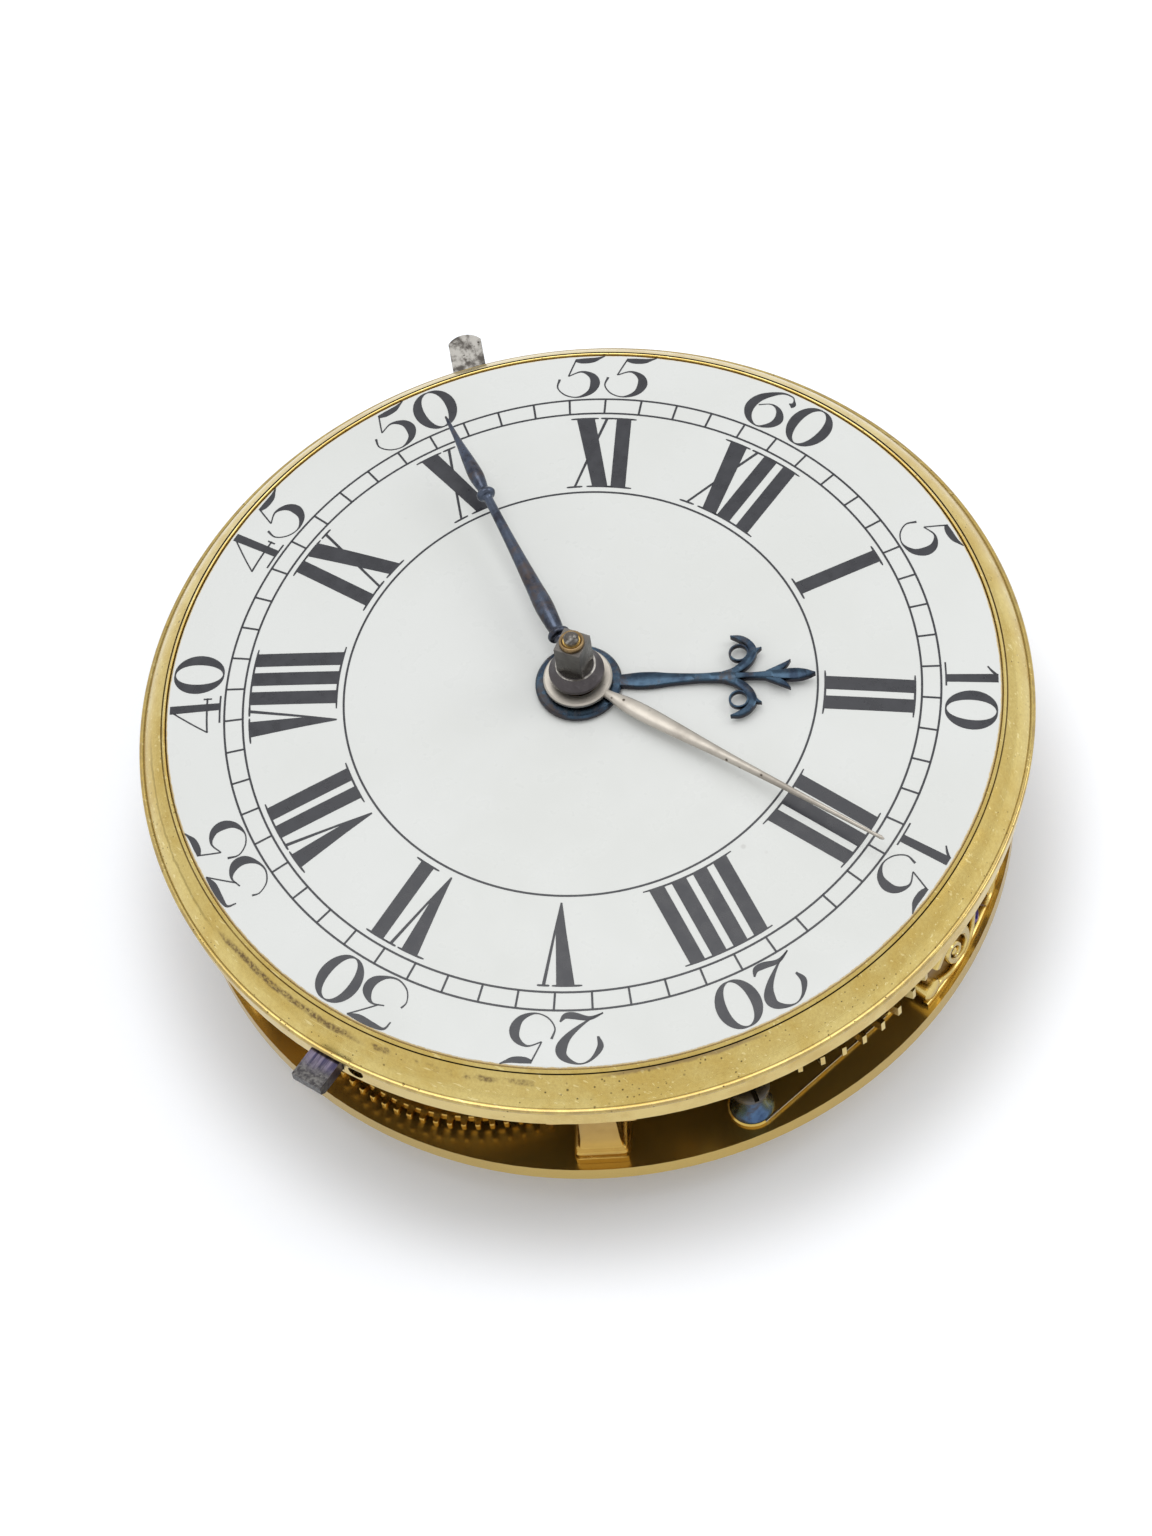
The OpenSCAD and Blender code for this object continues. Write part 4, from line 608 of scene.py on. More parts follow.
GILT = metal("gilding", (206, 183, 116), (190, 162, 92), rings=0.3)
GILT_MIRROR = metal("gilding, polished", (206, 176, 96), (186, 154, 79), rough=(0.24, 0.3),
                    stains=(60.0, 0.3, 0.9), pits=(3200.0, 0.72), scratch=0.78, bare=0.94)
# Gilding painted darker as the shade that falls between the plates under the ring: on the pillars and the
# set-up wheel
GILT_BETWEEN_PLATES_PAINTED_SHADE = metal("gilding, painted shade between the plates", (184, 149, 78), (160, 124, 59))
# Dark gilding painted as the shade in the hollows behind the scroll bracket's carving
GILT_CARVING_PAINTED_SHADE = metal("gilding, painted shade behind carving", (118, 88, 42), (92, 66, 30), rough=(0.36, 0.5))
GILT_RUBBED = gilt_edge_material()
BRASS = metal("turned brass", (206, 176, 108), (184, 148, 80), rough=(0.2, 0.36))
DULL_BRASS = metal("dull brass", (150, 126, 90), (112, 92, 66), rough=(0.34, 0.52), pits=(4200.0, 0.5))
STEEL = metal("polished steel", (206, 202, 196), (168, 162, 154), rough=(0.16, 0.34), pit=(70, 52, 38),
              pits=(2200.0, 0.54))
GREY_STEEL = metal("corroded steel", (178, 175, 169), (88, 84, 80), rough=(0.3, 0.55), pit=(52, 44, 38),
                   stains=(520.0, 0.44, 0.58), pits=(2300.0, 0.34))
HAND_STEEL = metal("pitted hand steel", (186, 180, 170), (160, 153, 144), rough=(0.42, 0.56),
                   pit=(60, 48, 38), pits=(1600.0, 0.42))
DARK_STEEL = metal("dark steel", (88, 84, 85), (58, 54, 56), rough=(0.26, 0.5), pit=(150, 140, 132),
                   pits=(2600.0, 0.5), scratch=0.6)
SQUARE_STEEL = metal("filed steel", (104, 101, 97), (74, 71, 69), rough=(0.24, 0.46), pit=(58, 52, 48),
                     pits=(2600.0, 0.52), scratch=0.6)
BOLT_STEEL = bolt_material()
BLUED = blued_material("blued steel", (78, 102, 132), (50, 64, 90), (84, 76, 72), 0.7)
# Blued steel of the hour hand, with painted shade on its sides
HAND_BLUED = blued_material("blued hand", (60, 78, 94), (41, 51, 65), (76, 67, 61), 0.75,
                            top_z=levels_mm("hour_hand")[1])
DEEP_BLUED = blued_material("deep blued steel", (80, 88, 103), (54, 55, 63), (86, 76, 71), 0.8)
# Violet blued steel of the bracket's screw, its colour painted brighter than the metal as painted light where
# it lies in the ring's shade
VIOLET_BLUED_PAINTED_LIGHT = blued_material("violet steel, painted light", (116, 104, 196), (88, 74, 150), (90, 76, 110), 0.4, bare=0.4)
ENAMEL = enamel_material()
NUMERAL = numeral_material()
GARNET = garnet_material()


# Dial, numerals and ring

RIM_ROUND = 0.12
HOLE_ROUND = 0.06
FOOT_R = 0.5
FOOT_IN = 3.1
FOOT_ANGLES = (15, 130, 250)


def make_dial():
    """Domed plate turned about the centre arbor, with a rounded rim, a rounded hole and three round feet."""
    r = np.linspace(DIAL_HOLE_R + HOLE_ROUND, DIAL_R - RIM_ROUND, 40)
    a = np.linspace(np.pi / 2, -np.pi / 2, 9)
    half = DIAL_T / 2
    bulge = half * np.sin(a) - half
    top = np.stack([r, dome_z(r)], 1)
    rim = np.stack([DIAL_R - RIM_ROUND + RIM_ROUND * np.cos(a), dome_z(DIAL_R) + bulge], 1)
    under = np.stack([r, dome_z(r) - DIAL_T], 1)[::-1]
    hole = np.stack([DIAL_HOLE_R + HOLE_ROUND - HOLE_ROUND * np.cos(a), dome_z(DIAL_HOLE_R) + bulge], 1)[::-1]
    grids = [turned(np.vstack([top, rim, under, hole]), segments=288)]
    foot_d = DIAL_R - FOOT_IN
    foot_top, foot_end = dome_z(foot_d) - half, dial_low[2]
    foot = [(0, foot_top), (FOOT_R, foot_top), (FOOT_R, foot_end), (0, foot_end)]
    grids += [turned(foot, clock_xy(0, foot_d, angle), 32) for angle in FOOT_ANGLES]
    piece("dial_face", grids, ENAMEL, "frame", ["dial"])


# Section of a painted stroke: side of its middle line (-1 or 1), and height from the dial's face
PAINT_SECTION = np.array([(-1, -0.03), (1, -0.03), (1, 0.012), (-1, 0.012)])
PAINT_Z = PAINT_SECTION[1:3, 1]


def painted(g, angle):
    """Lays a flat stroke on the dial at a clock angle: x runs clockwise, y outwards from the centre."""
    def lay(x, y, z):
        wx, wy = clock_xy(x, y, angle)
        return wx, wy, dome_z(np.hypot(wx, wy)) + z
    return moved(g, lay)


def painted_round(g, angle, at_r):
    """Lays a flat stroke bent round the dial: x is an arc's length at radius at_r, y the radius itself."""
    def lay(x, y, z):
        a = np.radians(angle) + x / at_r
        return y * np.sin(a), y * np.cos(a), dome_z(y) + z
    return moved(g, lay)


ROMAN_TOP = 15.78
ROMAN_FOOT = 11.58
NOTCH_R = 13.15
SERIF_T = 0.1
SERIF_THINNING = 0.45
SERIF_ROWS = 15
BAR = (-0.36, 0.36)
TOP_SERIF = 0.62
FOOT_SERIF = 0.66

# Each letter's straight strokes (left and right at the top, left and right at the foot, radius of the top,
# radius of the foot), and its serifs (left, right, radius)
LETTERS = {
    "I": ([(BAR, BAR, ROMAN_TOP, ROMAN_FOOT)], []),
    "V": ([((-0.88, -0.03), (-0.33, 0.17), ROMAN_TOP, NOTCH_R),
           ((0.48, 0.64), (0.17, 0.28), ROMAN_TOP, NOTCH_R),
           ((-0.33, 0.28), (-0.03, 0.05), NOTCH_R, ROMAN_FOOT)],
          [(-1.23, 0.17, ROMAN_TOP), (0.28, 0.86, ROMAN_TOP)]),
    "X": ([((-0.92, -0.04), (0.15, 0.9), ROMAN_TOP, ROMAN_FOOT),
           ((0.5, 0.64), (-0.75, -0.63), ROMAN_TOP, ROMAN_FOOT)],
          [(-1.2, 0.16, ROMAN_TOP), (0.26, 0.92, ROMAN_TOP), (-1.08, -0.32, ROMAN_FOOT),
           (-0.12, 1.16, ROMAN_FOOT)]),
}
# For each hour: its letter, where the letter stands, and where the plain bars stand
ROMAN = {1: ("", 0, [0]), 2: ("", 0, [-0.54, 0.54]), 3: ("", 0, [-1.08, 0, 1.08]),
         4: ("", 0, [-1.62, -0.54, 0.54, 1.62]), 5: ("V", 0, []), 6: ("V", -0.66, [0.7]),
         7: ("V", -1.38, [0, 1.08]), 8: ("V", -1.84, [-0.56, 0.51, 1.58]), 9: ("X", 0.57, [-1.0]),
         10: ("X", -0.1, []), 11: ("X", -0.4, [1.0]), 12: ("X", -0.85, [0.48, 1.6])}


def slant(top, foot, top_r, foot_r, angle):
    """One straight stroke of a Roman numeral, from its two ends (left, right) at the top and at the foot: a
    point at x lies at y = the root of r^2 - x^2."""
    share = np.linspace(0, 1, 9)
    r = top_r + (foot_r - top_r) * share
    left, right = (a + (b - a) * share for a, b in zip(top, foot))
    rows = [np.stack([x, np.sqrt(r**2 - x**2), np.full(len(x), z)], 1)
            for x, z in zip((left, right, right, left), PAINT_SECTION[:, 1])]
    return painted(tube(np.stack(rows, 1)), angle)


def serif(left, right, r, angle):
    """Thin line along a circle of the dial, from left to right of a numeral, thinner at its ends."""
    x = np.linspace(left, right, SERIF_ROWS)
    w = SERIF_T * (1 - SERIF_THINNING * np.abs(np.linspace(-1, 1, SERIF_ROWS))**6)
    rows = [np.stack([x, r + side * w / 2, np.full(SERIF_ROWS, z)], 1) for side, z in PAINT_SECTION]
    return painted_round(tube(np.stack(rows, 1)), angle, r)


def letter(sign, x, angle):
    """Strokes and serifs of one letter whose middle stands at x."""
    strokes, serifs = LETTERS[sign]
    grids = [slant(np.add(x, top), np.add(x, foot), top_r, foot_r, angle)
             for top, foot, top_r, foot_r in strokes]
    return grids + [serif(x + left, x + right, r, angle) for left, right, r in serifs]


def roman(hour):
    """A Roman numeral with its top outwards: its letter, its plain bars, and serifs across the bars."""
    sign, x, bars = ROMAN[hour]
    angle = hour * 30
    grids = letter(sign, x, angle) if sign else []
    for bar in bars:
        grids += letter("I", bar, angle)
    if bars:
        grids.append(serif(min(bars) - TOP_SERIF, max(bars) + TOP_SERIF, ROMAN_TOP, angle))
        grids.append(serif(min(bars) - FOOT_SERIF, max(bars) + FOOT_SERIF, ROMAN_FOOT, angle))
    return grids


DIGIT_FOOT = 17.2
DIGIT_R = 18.0
DIGIT_GAP = 0.24
NUMBER_LEAD = 0.25

# Pen strokes of the digits: a digit's width, then rows of (x, y, width) from the foot's left corner
DIGITS = {
    "1": (1.36, [[(0.92, 0.03, 0.43), (0.92, 1.2, 0.43), (0.92, 2.48, 0.43)],
                 [(0.3, 2.0, 0.07), (0.56, 2.2, 0.11), (0.8, 2.45, 0.14)],
                 [(0.0, 0.03, 0.08), (0.68, 0.03, 0.08), (1.36, 0.03, 0.08)]]),
    "2": (2.1, [[(0.4, 1.14, 0.1), (0.33, 1.67, 0.28), (0.76, 2.26, 0.12), (1.29, 2.43, 0.08),
                 (1.9, 2.1, 0.35), (2.02, 1.62, 0.5), (1.67, 1.0, 0.3), (0.88, 0.36, 0.1), (0.1, 0.0, 0.06)],
                [(0.1, 0.02, 0.06), (0.76, 0.22, 0.2), (1.48, 0.07, 0.34), (1.9, 0.08, 0.28),
                 (2.14, 0.36, 0.08)]]),
    "3": (2.1, [[(0.24, 1.98, 0.06), (0.38, 2.4, 0.12), (0.88, 2.44, 0.26), (1.6, 2.41, 0.32),
                 (2.14, 2.5, 0.07)],
                [(2.14, 2.5, 0.06), (1.63, 1.96, 0.07), (1.12, 1.43, 0.07)],
                [(0.88, 1.38, 0.06), (1.48, 1.5, 0.12), (1.95, 1.07, 0.45), (1.95, 0.55, 0.45),
                 (1.48, 0.1, 0.15), (0.88, -0.02, 0.08), (0.29, 0.26, 0.07), (0.02, 0.79, 0.06),
                 (0.12, 1.17, 0.1)]]),
    "4": (2.0, [[(1.43, 0.05, 0.4), (1.43, 1.2, 0.4), (1.43, 2.48, 0.4)],
                [(1.38, 2.46, 0.07), (0.72, 1.56, 0.07), (0.05, 0.67, 0.07)],
                [(0.0, 0.64, 0.09), (0.97, 0.655, 0.09), (1.95, 0.67, 0.09)],
                [(1.9, 0.45, 0.08), (1.9, 0.65, 0.08), (1.9, 0.86, 0.08)],
                [(0.48, 0.03, 0.09), (1.26, 0.03, 0.09), (2.05, 0.03, 0.09)]]),
    "5": (2.1, [[(0.95, 2.4, 0.07), (0.76, 1.88, 0.07), (0.57, 1.36, 0.07)],
                [(0.9, 2.36, 0.16), (1.25, 2.3, 0.32), (1.7, 2.33, 0.3), (2.02, 2.46, 0.14),
                 (2.24, 2.58, 0.05)],
                [(0.57, 1.36, 0.06), (1.19, 1.6, 0.1), (1.71, 1.3, 0.34), (1.86, 0.79, 0.48),
                 (1.62, 0.26, 0.3), (1.0, -0.02, 0.08), (0.38, 0.17, 0.07), (0.02, 0.67, 0.07),
                 (0.14, 1.21, 0.12)]]),
    "6": (2.1, [[(1.93, 1.86, 0.3), (2.03, 2.0, 0.24), (1.95, 2.22, 0.08), (1.74, 2.4, 0.07),
                 (1.21, 2.33, 0.14), (0.5, 1.69, 0.4), (0.26, 0.98, 0.48), (0.5, 0.33, 0.3), (1.1, 0.0, 0.07),
                 (1.69, 0.31, 0.3), (1.9, 0.81, 0.45), (1.62, 1.33, 0.25), (1.14, 1.5, 0.07),
                 (0.6, 1.21, 0.06)]]),
}
ZERO_W = 2.08
ZERO_OVAL = {"radius_x": 0.79, "radius_y": 1.2, "thick": 0.5, "thin": 0.07}
ZERO_AT = (1.04, 1.24)


def digit(sign, x0):
    """Strokes of one digit with its left side at x0, and the digit's width."""
    if sign == "0":
        oval = ring_path(**ZERO_OVAL, centre=(x0 + ZERO_AT[0], ZERO_AT[1]))
        return [brush(oval, *PAINT_Z, closed=True)], ZERO_W
    width, strokes = DIGITS[sign]
    return [brush(np.array(rows) + [x0, 0, 0], *PAINT_Z, steps=16 * len(rows)) for rows in strokes], width


def minute_number(minute):
    """Digits of a five-minute number, side by side, with their tops outwards. Numbers of two digits stand a
    little before their minute."""
    grids, x = [], 0.0
    for sign in str(minute):
        strokes, width = digit(sign, x)
        grids += strokes
        x += width + DIGIT_GAP
    shift = (x - DIGIT_GAP) / 2 + (NUMBER_LEAD if minute > 5 else 0.0)
    centred = [moved(g, lambda a, b, c: (a - shift, b + DIGIT_FOOT, c)) for g in grids]
    return [painted_round(g, minute * 6, DIGIT_R) for g in centred]


TRACK_R = (16.1, 17.0)
CIRCLE_R = 11.23
TRACK_W = 0.1


def line_ring(r):
    """Thin painted circle of radius r."""
    a = full_turn(360)[:, None]
    side, z = PAINT_SECTION.T
    q = r + side * TRACK_W / 2 + 0 * a
    return grid(np.stack([q * np.sin(a), q * np.cos(a), dome_z(q) + z], -1), close_u=True, close_v=True)


def make_dial_paint():
    """Minute track and the circle inside it, Roman numerals and five-minute numbers."""
    tick = brush([(0, r, TRACK_W) for r in TRACK_R], *PAINT_Z, steps=3)
    track = [line_ring(r) for r in (*TRACK_R, CIRCLE_R)] + [painted(tick, 6 * k) for k in range(60)]
    hours = [g for hour in range(1, 13) for g in roman(hour)]
    minutes = [g for k in range(1, 13) for g in minute_number(5 * k)]
    for name, grids in (("dial_minute_track", track), ("dial_hour_numerals", hours),
                        ("dial_minute_numbers", minutes)):
        piece(name, grids, NUMERAL, "frame")


SHELF_W = 0.95
SHELF_GAP = 0.02
GROOVE_DEPTH = 0.3
BAND_DROP = 0.12
BAND_BOW = 0.1
BOW_OUT = 0.6
BEAD_ROUND = 0.6
# Lip's rows: distance outwards from its inner edge, and drop below its crest
LIP_ROWS = np.array([(-0.025, 0.05), (0.0, 0.008), (0.04, 0.0), (LIP_W - 0.03, 0.07), (LIP_W, 0.11)])


def make_dial_ring():
    """Moulded ring: a shelf under the dial, a thin sloping lip, a dark groove, a bowed band and a rounded
    bead."""
    shelf_r, shelf_z = LIP_IN_R - SHELF_W, DIAL_EDGE_Z - DIAL_T - SHELF_GAP
    shelf = [(shelf_r, 0), (shelf_r, shelf_z), (LIP_IN_R, shelf_z)]
    lip = np.stack([LIP_IN_R + LIP_ROWS[:, 0], LIP_Z - LIP_ROWS[:, 1]], 1)
    groove = [(BAND_R - GROOVE_W, LIP_Z - GROOVE_DEPTH), (BAND_R, LIP_Z - GROOVE_DEPTH)]
    s = np.linspace(0, 1, 20)
    bow = BAND_BOW * np.sin(np.pi * s)
    top = LIP_Z - BAND_DROP
    band = np.stack([BAND_R + BAND_W * s + BOW_OUT * bow, top + (BEAD_H - top) * s + bow], 1)
    a = np.linspace(np.pi / 2, -np.pi / 2, 11)
    half, round_w = BEAD_H / 2, BEAD_ROUND * (EDGE_R - BEAD_R)
    bead = np.stack([EDGE_R - round_w + round_w * np.cos(a), half + half * np.sin(a)], 1)
    profile = np.vstack([shelf, lip, groove, band, bead])
    piece("dial_ring", [turned(profile, segments=360)], GILT_RUBBED, "frame", ["dial_edge"])


# Hands, drawn along +Y and turned to their places

HOUR_ANGLE = 56.6
MINUTE_ANGLE = 302.6
SECONDS_ANGLE = 89.9
HAND_BEVEL = 0.35
STROKE_STEP = 0.012
SIDE_STEP = 0.003
CURL_DROP = 0.05

# Stem's rows of (y, width), then rows of (x, y, width) of the right-hand ornament
HOUR_STEM = [(1.8, 0.66), (2.1, 0.66), (2.9, 0.82), (3.6, 0.78), (4.4, 0.58), (5.7, 0.42), (6.5, 0.48),
             (7.1, 0.56), (7.6, 0.34), (8.2, 0.3), (9.0, 0.42), (9.6, 0.56), (10.25, 0.62), (10.75, 0.42),
             (11.15, 0.03)]
HOUR_ARCH = [(0.1, 6.75, 0.3), (0.3, 7.4, 0.4), (0.78, 7.95, 0.46), (1.35, 8.2, 0.42), (1.8, 8.0, 0.36),
             (2.08, 7.6, 0.3), (2.2, 7.15, 0.04)]
HOUR_SPUR = [(1.0, 8.05, 0.3), (1.35, 8.33, 0.24), (1.52, 8.62, 0.03)]
HOUR_LEAF = [(0.1, 8.85, 0.26), (0.3, 9.35, 0.34), (0.54, 9.72, 0.24), (0.78, 9.98, 0.03)]
CURL_AT = (1.28, 7.55)
CURL_R = 0.43
CURL_W = 0.11


def make_hour_hand():
    """Flat blued hand: a swelling stem, two arches with curls and spurs, two side leaves and a pointed leaf.
    Each stroke's top lies a hair lower than the one before, so that no two tops share a plane."""
    low, high = levels_mm("hour_hand")
    strokes = [brush(on_axis(HOUR_STEM), low, high, 120, HAND_BEVEL)]
    for side in (-1, 1):
        for k, rows in enumerate((HOUR_ARCH, HOUR_SPUR, HOUR_LEAF)):
            drop = STROKE_STEP * (k + 1) + SIDE_STEP * side
            strokes.append(brush(np.array(rows) * [side, 1, 1], low + drop, high - drop, 60, HAND_BEVEL))
        curl = ring_path(CURL_R, CURL_R, CURL_W, CURL_W, (side * CURL_AT[0], CURL_AT[1]), 48)
        curl_top = high - CURL_DROP - SIDE_STEP * side
        strokes.append(brush(curl, low + CURL_DROP, curl_top, bevel=HAND_BEVEL, closed=True))
    boss = turned([(1.42, low), (1.98, low), (2.05, low + 0.06), (2.05, high - 0.1), (1.96, high + 0.006),
                   (1.42, high + 0.006)])
    grids = [turned_to(g, HOUR_ANGLE) for g in strokes] + [boss]
    piece("hour_hand_blued", grids, HAND_BLUED, "hour", ["hour_hand"])


HUB_HALF = 0.35
# Rows of (distance from the centre, radius)
MINUTE_TURNED = [(0.95, 0.3), (1.75, 0.29), (1.88, 0.34), (1.96, 0.5), (2.08, 0.55), (2.2, 0.5), (2.28, 0.36),
                 (2.8, 0.4), (3.9, 0.46), (5.3, 0.39), (7.7, 0.28), (10.3, 0.22), (10.75, 0.24), (10.88, 0.4),
                 (11.03, 0.47), (11.18, 0.4), (11.3, 0.26), (11.75, 0.32), (12.3, 0.37), (13.2, 0.3),
                 (14.4, 0.17), (15.5, 0.1), (16.05, 0.06), (16.15, 0.015)]


def make_minute_hand():
    """Turned hand: a radius that changes along its length, carried round the hand's own axis, on a coned
    boss."""
    axis_z = middle_mm("minute_hand")[2]
    along, r = spline(MINUTE_TURNED, 260).T[..., None]
    a = full_turn(28)
    x = r * np.cos(a)
    body = tube(np.stack([x, along + 0 * x, axis_z + r * np.sin(a)], -1))
    low, high = axis_z - HUB_HALF, axis_z + HUB_HALF
    hub = turned([(0.8, low), (1.25, low), (1.31, low + 0.05), (1.31, low + 0.24), (1.27, low + 0.29),
                  (1.16, low + 0.36), (1.0, high - 0.08), (0.94, high - 0.02), (0.88, high), (0.8, high)])
    piece("minute_hand_blued", [turned_to(body, MINUTE_ANGLE)], DEEP_BLUED, "centre",
          ["minute_hand"])
    piece("minute_hand_boss", [hub], DARK_STEEL, "centre")


BUSH_R = 0.6
BUSH_ROUND = 0.1
NIB_R = 0.3
NIB_DOME = 0.25


def make_setting_tip():
    """Tip of the hand-setting square: a dull brass ring with a rounded edge, the arbor's domed end inside it,
    and the bright edge round the square's foot."""
    top, nib_top = levels_mm("cannon_pinion")[1], levels_mm("centre_arbor")[1]
    foot = middle_mm("minute_hand")[2] + HUB_HALF
    a = np.linspace(0, np.pi / 2, 7)
    rounded = np.stack([BUSH_R - BUSH_ROUND + BUSH_ROUND * np.cos(a), top + 0.1 + 0.12 * np.sin(a)], 1)
    bush = np.vstack([[(0.34, top - 0.05), (BUSH_R, top - 0.05)], rounded, [(0.38, top + 0.16)]])
    dome = np.stack([NIB_R * np.cos(a), nib_top - 0.22 + NIB_DOME * np.sin(a)], 1)
    nib = np.vstack([[(0, top), (0.37, top), (0.37, top + 0.14), (NIB_R, top + 0.2)], dome])
    edge = [(0.86, foot - 0.04), (0.95, foot - 0.04), (0.965, foot), (0.94, foot + 0.012),
            (0.86, foot + 0.004)]
    piece("setting_square_bush", [turned(bush, segments=64)], DULL_BRASS, "centre")
    piece("setting_square_nib", [turned(nib, segments=48)], SQUARE_STEEL, "centre")
    piece("setting_square_foot", [turned(edge, segments=64)], GREY_STEEL, "centre")


BLADE_UP = 0.02
BLADE_SHARE = 0.8
FULL_BLADE_W = 0.3
LEAST_SHARE = 0.35
BACK_CURVE = 0.8
# Rows of (distance from the centre, width)
SECONDS_BLADE = [(1.4, 0.4), (1.9, 0.5), (2.8, 0.78), (4.0, 0.86), (5.6, 0.74), (8.5, 0.46), (12.5, 0.26),
                 (16.3, 0.17), (16.8, 0.19), (17.0, 0.06)]


def make_seconds_hand():
    """Long steel blade with a round back: its section is a half-oval whose width follows the blade, and which
    is flatter where the blade is narrow."""
    low, high = levels_mm("seconds_hand")
    along, width = spline(SECONDS_BLADE, 200).T[..., None]
    a = np.linspace(0, np.pi, 11)
    x = width / 2 * np.cos(a)
    flatter = np.clip(width / FULL_BLADE_W, LEAST_SHARE, 1.0)
    z = low + BLADE_UP + (high - low) * BLADE_SHARE * np.sin(a)**BACK_CURVE * flatter
    blade = tube(np.stack([x, along + 0 * x, z], -1))
    boss = turned([(1.12, low), (1.58, low), (1.63, low + 0.06), (1.63, high - 0.08), (1.56, high),
                   (1.12, high)])
    piece("seconds_hand_blade", [turned_to(blade, SECONDS_ANGLE), boss], HAND_STEEL, "seconds",
          ["seconds_hand"])


# Frame

PILLAR_ANGLES = (50, 145.4, 206, 300)
PILLAR_D = 18.55
PILLAR_HALF = 1.7
TENON_R = 0.75
FLANGE_HALF = (2.1, 1.875)
FLANGE_OUT = 0.575
FLANGE_T = 0.36
# Height above the top plate, and half the pillar's width there
PILLAR_ROWS = [(0.0, 1.26), (0.02, 1.3), (0.45, 1.3), (0.47, 1.26), (0.5, 1.12), (0.56, 1.12), (0.66, 1.22),
               (0.8, 1.25), (0.94, 1.2), (1.02, 1.08), (1.1, 1.04), (1.8, 0.97), (3.2, 0.92), (4.6, 1.0),
               (5.4, 1.14), (5.75, 1.3), (5.78, 1.36), (5.95, 1.38), (5.98, 1.5)]


def rounded_block(middle, half, rows, corner):
    """Upright block with a softened square outline: a superellipse |x|^n + |y|^n = 1, scaled at each height
    by half the sides less an inset. Rows are (height, inset), and corner is n."""
    a = full_turn(96)
    square = 1 / (np.abs(np.cos(a))**corner + np.abs(np.sin(a))**corner)**(1 / corner)
    z, inset = np.array(rows, float).T
    x = middle[0] + (half[0] - inset[:, None]) * square * np.cos(a)
    y = middle[1] + (half[1] - inset[:, None]) * square * np.sin(a)
    return tube(np.stack([x, y, z[:, None] + 0 * x], -1))


def make_pillars():
    """Square balusters: half the width as a function of height, carried round a square with softened corners,
    with a flange under the pillar plate that reaches out to its edge."""
    plate, top = levels_mm("pillar_plate")[0], levels_mm("top_plate")[1]
    end = levels_mm("pillars")[0]
    shaft_end = (plate - top - FLANGE_T, PILLAR_HALF)
    shaft_rows = [(top + z, PILLAR_HALF - w) for z, w in (*PILLAR_ROWS, shaft_end)]
    flange_rows = [(plate - FLANGE_T, 0.05), (plate - 0.32, 0.0), (plate - 0.02, 0.0), (plate, 0.02)]
    shaft = rounded_block((0, PILLAR_D), (PILLAR_HALF, PILLAR_HALF), shaft_rows, corner=14.0)
    flange = rounded_block((0, PILLAR_D + FLANGE_OUT), FLANGE_HALF, flange_rows, corner=40.0)
    tenon = [(0, top + 0.01), (TENON_R, top + 0.01), (TENON_R, end + 0.08), (TENON_R - 0.09, end), (0, end)]
    grids = []
    for angle in PILLAR_ANGLES:
        grids += [turned_to(shaft, angle), turned_to(flange, angle),
                  turned(tenon, clock_xy(0, PILLAR_D, angle), 32)]
    # The pillars' gilding is painted darker as shade between the plates
    piece("pillar_balusters", grids, GILT_BETWEEN_PLATES_PAINTED_SHADE, "frame", ["pillars"])


DOME_SHARE = 0.62
DOME_CURVE = 0.8
SCREW_BEVEL = 0.05


def domed_screw(centre, base_z, head_r, head_h, slot_w, slot_angle, shank_r, shank_l):
    """Screw with a domed head: each half of the head is a dome cut off beside the slot, on a plain disc with
    a shank. The slot's angle is anticlockwise from +X."""
    dome_h, disc_h = head_h * DOME_SHARE, head_h * (1 - DOME_SHARE)
    t = np.linspace(0, 1, 9)[:, None, None]
    start = np.arcsin(slot_w / 2 / head_r)
    a = np.linspace(start, np.pi - start, 29)
    edge = np.stack([head_r * np.cos(a), head_r * np.sin(a)], 1)
    chord = np.stack([np.linspace(edge[0, 0], edge[-1, 0], 29), np.full(29, slot_w / 2)], 1)
    xy = edge * t + chord * (1 - t)
    z = disc_h + dome_h * np.sqrt(np.clip(1 - DOME_CURVE * (np.sum(xy**2, -1) / head_r**2), 0, 1))
    upper = np.concatenate([xy, z[..., None]], -1)
    lower = np.concatenate([xy, np.full(z.shape, disc_h)[..., None]], -1)
    half = [grid(np.concatenate([upper, lower[::-1]], 0), close_u=True)]
    half += [grid(np.stack([upper[:, k], lower[:, k]], 0)) for k in (0, -1)]
    grids = [moved(g, lambda x, y, z: (k * x, k * y, z)) for k in (-1, 1) for g in half]
    disc = [(0, disc_h), (head_r, disc_h), (head_r, 0.04), (head_r - SCREW_BEVEL, 0), (shank_r, 0),
            (shank_r, -shank_l), (0, -shank_l)]
    grids.append(turned(disc, segments=48))
    ca, sa = np.cos(np.radians(slot_angle)), np.sin(np.radians(slot_angle))

    def lay(x, y, z):
        return centre[0] + ca * x - sa * y, centre[1] + sa * x + ca * y, base_z + z
    return [moved(g, lay) for g in grids]


STOP_BAR_TIP = np.array([17.4, -2.6])
STOP_BAR_W = 2.3
STOP_BAR_BEVEL = 0.08
BAR_RIM_W = 0.1
# Collar under the screw's head: radius, and height above the bar
COLLAR_ROWS = [(0, 1.72), (0.7, 1.72), (0.72, 1.2), (0.8, 0.6), (0.97, 0.18), (1.04, 0.06), (1.05, 0), (0, 0)]
COLLAR_HEAD = {"head_r": 0.95, "head_h": 0.5, "slot_w": 0.24, "slot_angle": 146, "shank_r": 0.45,
               "shank_l": 0.4}
COLLAR_TOP = 1.7


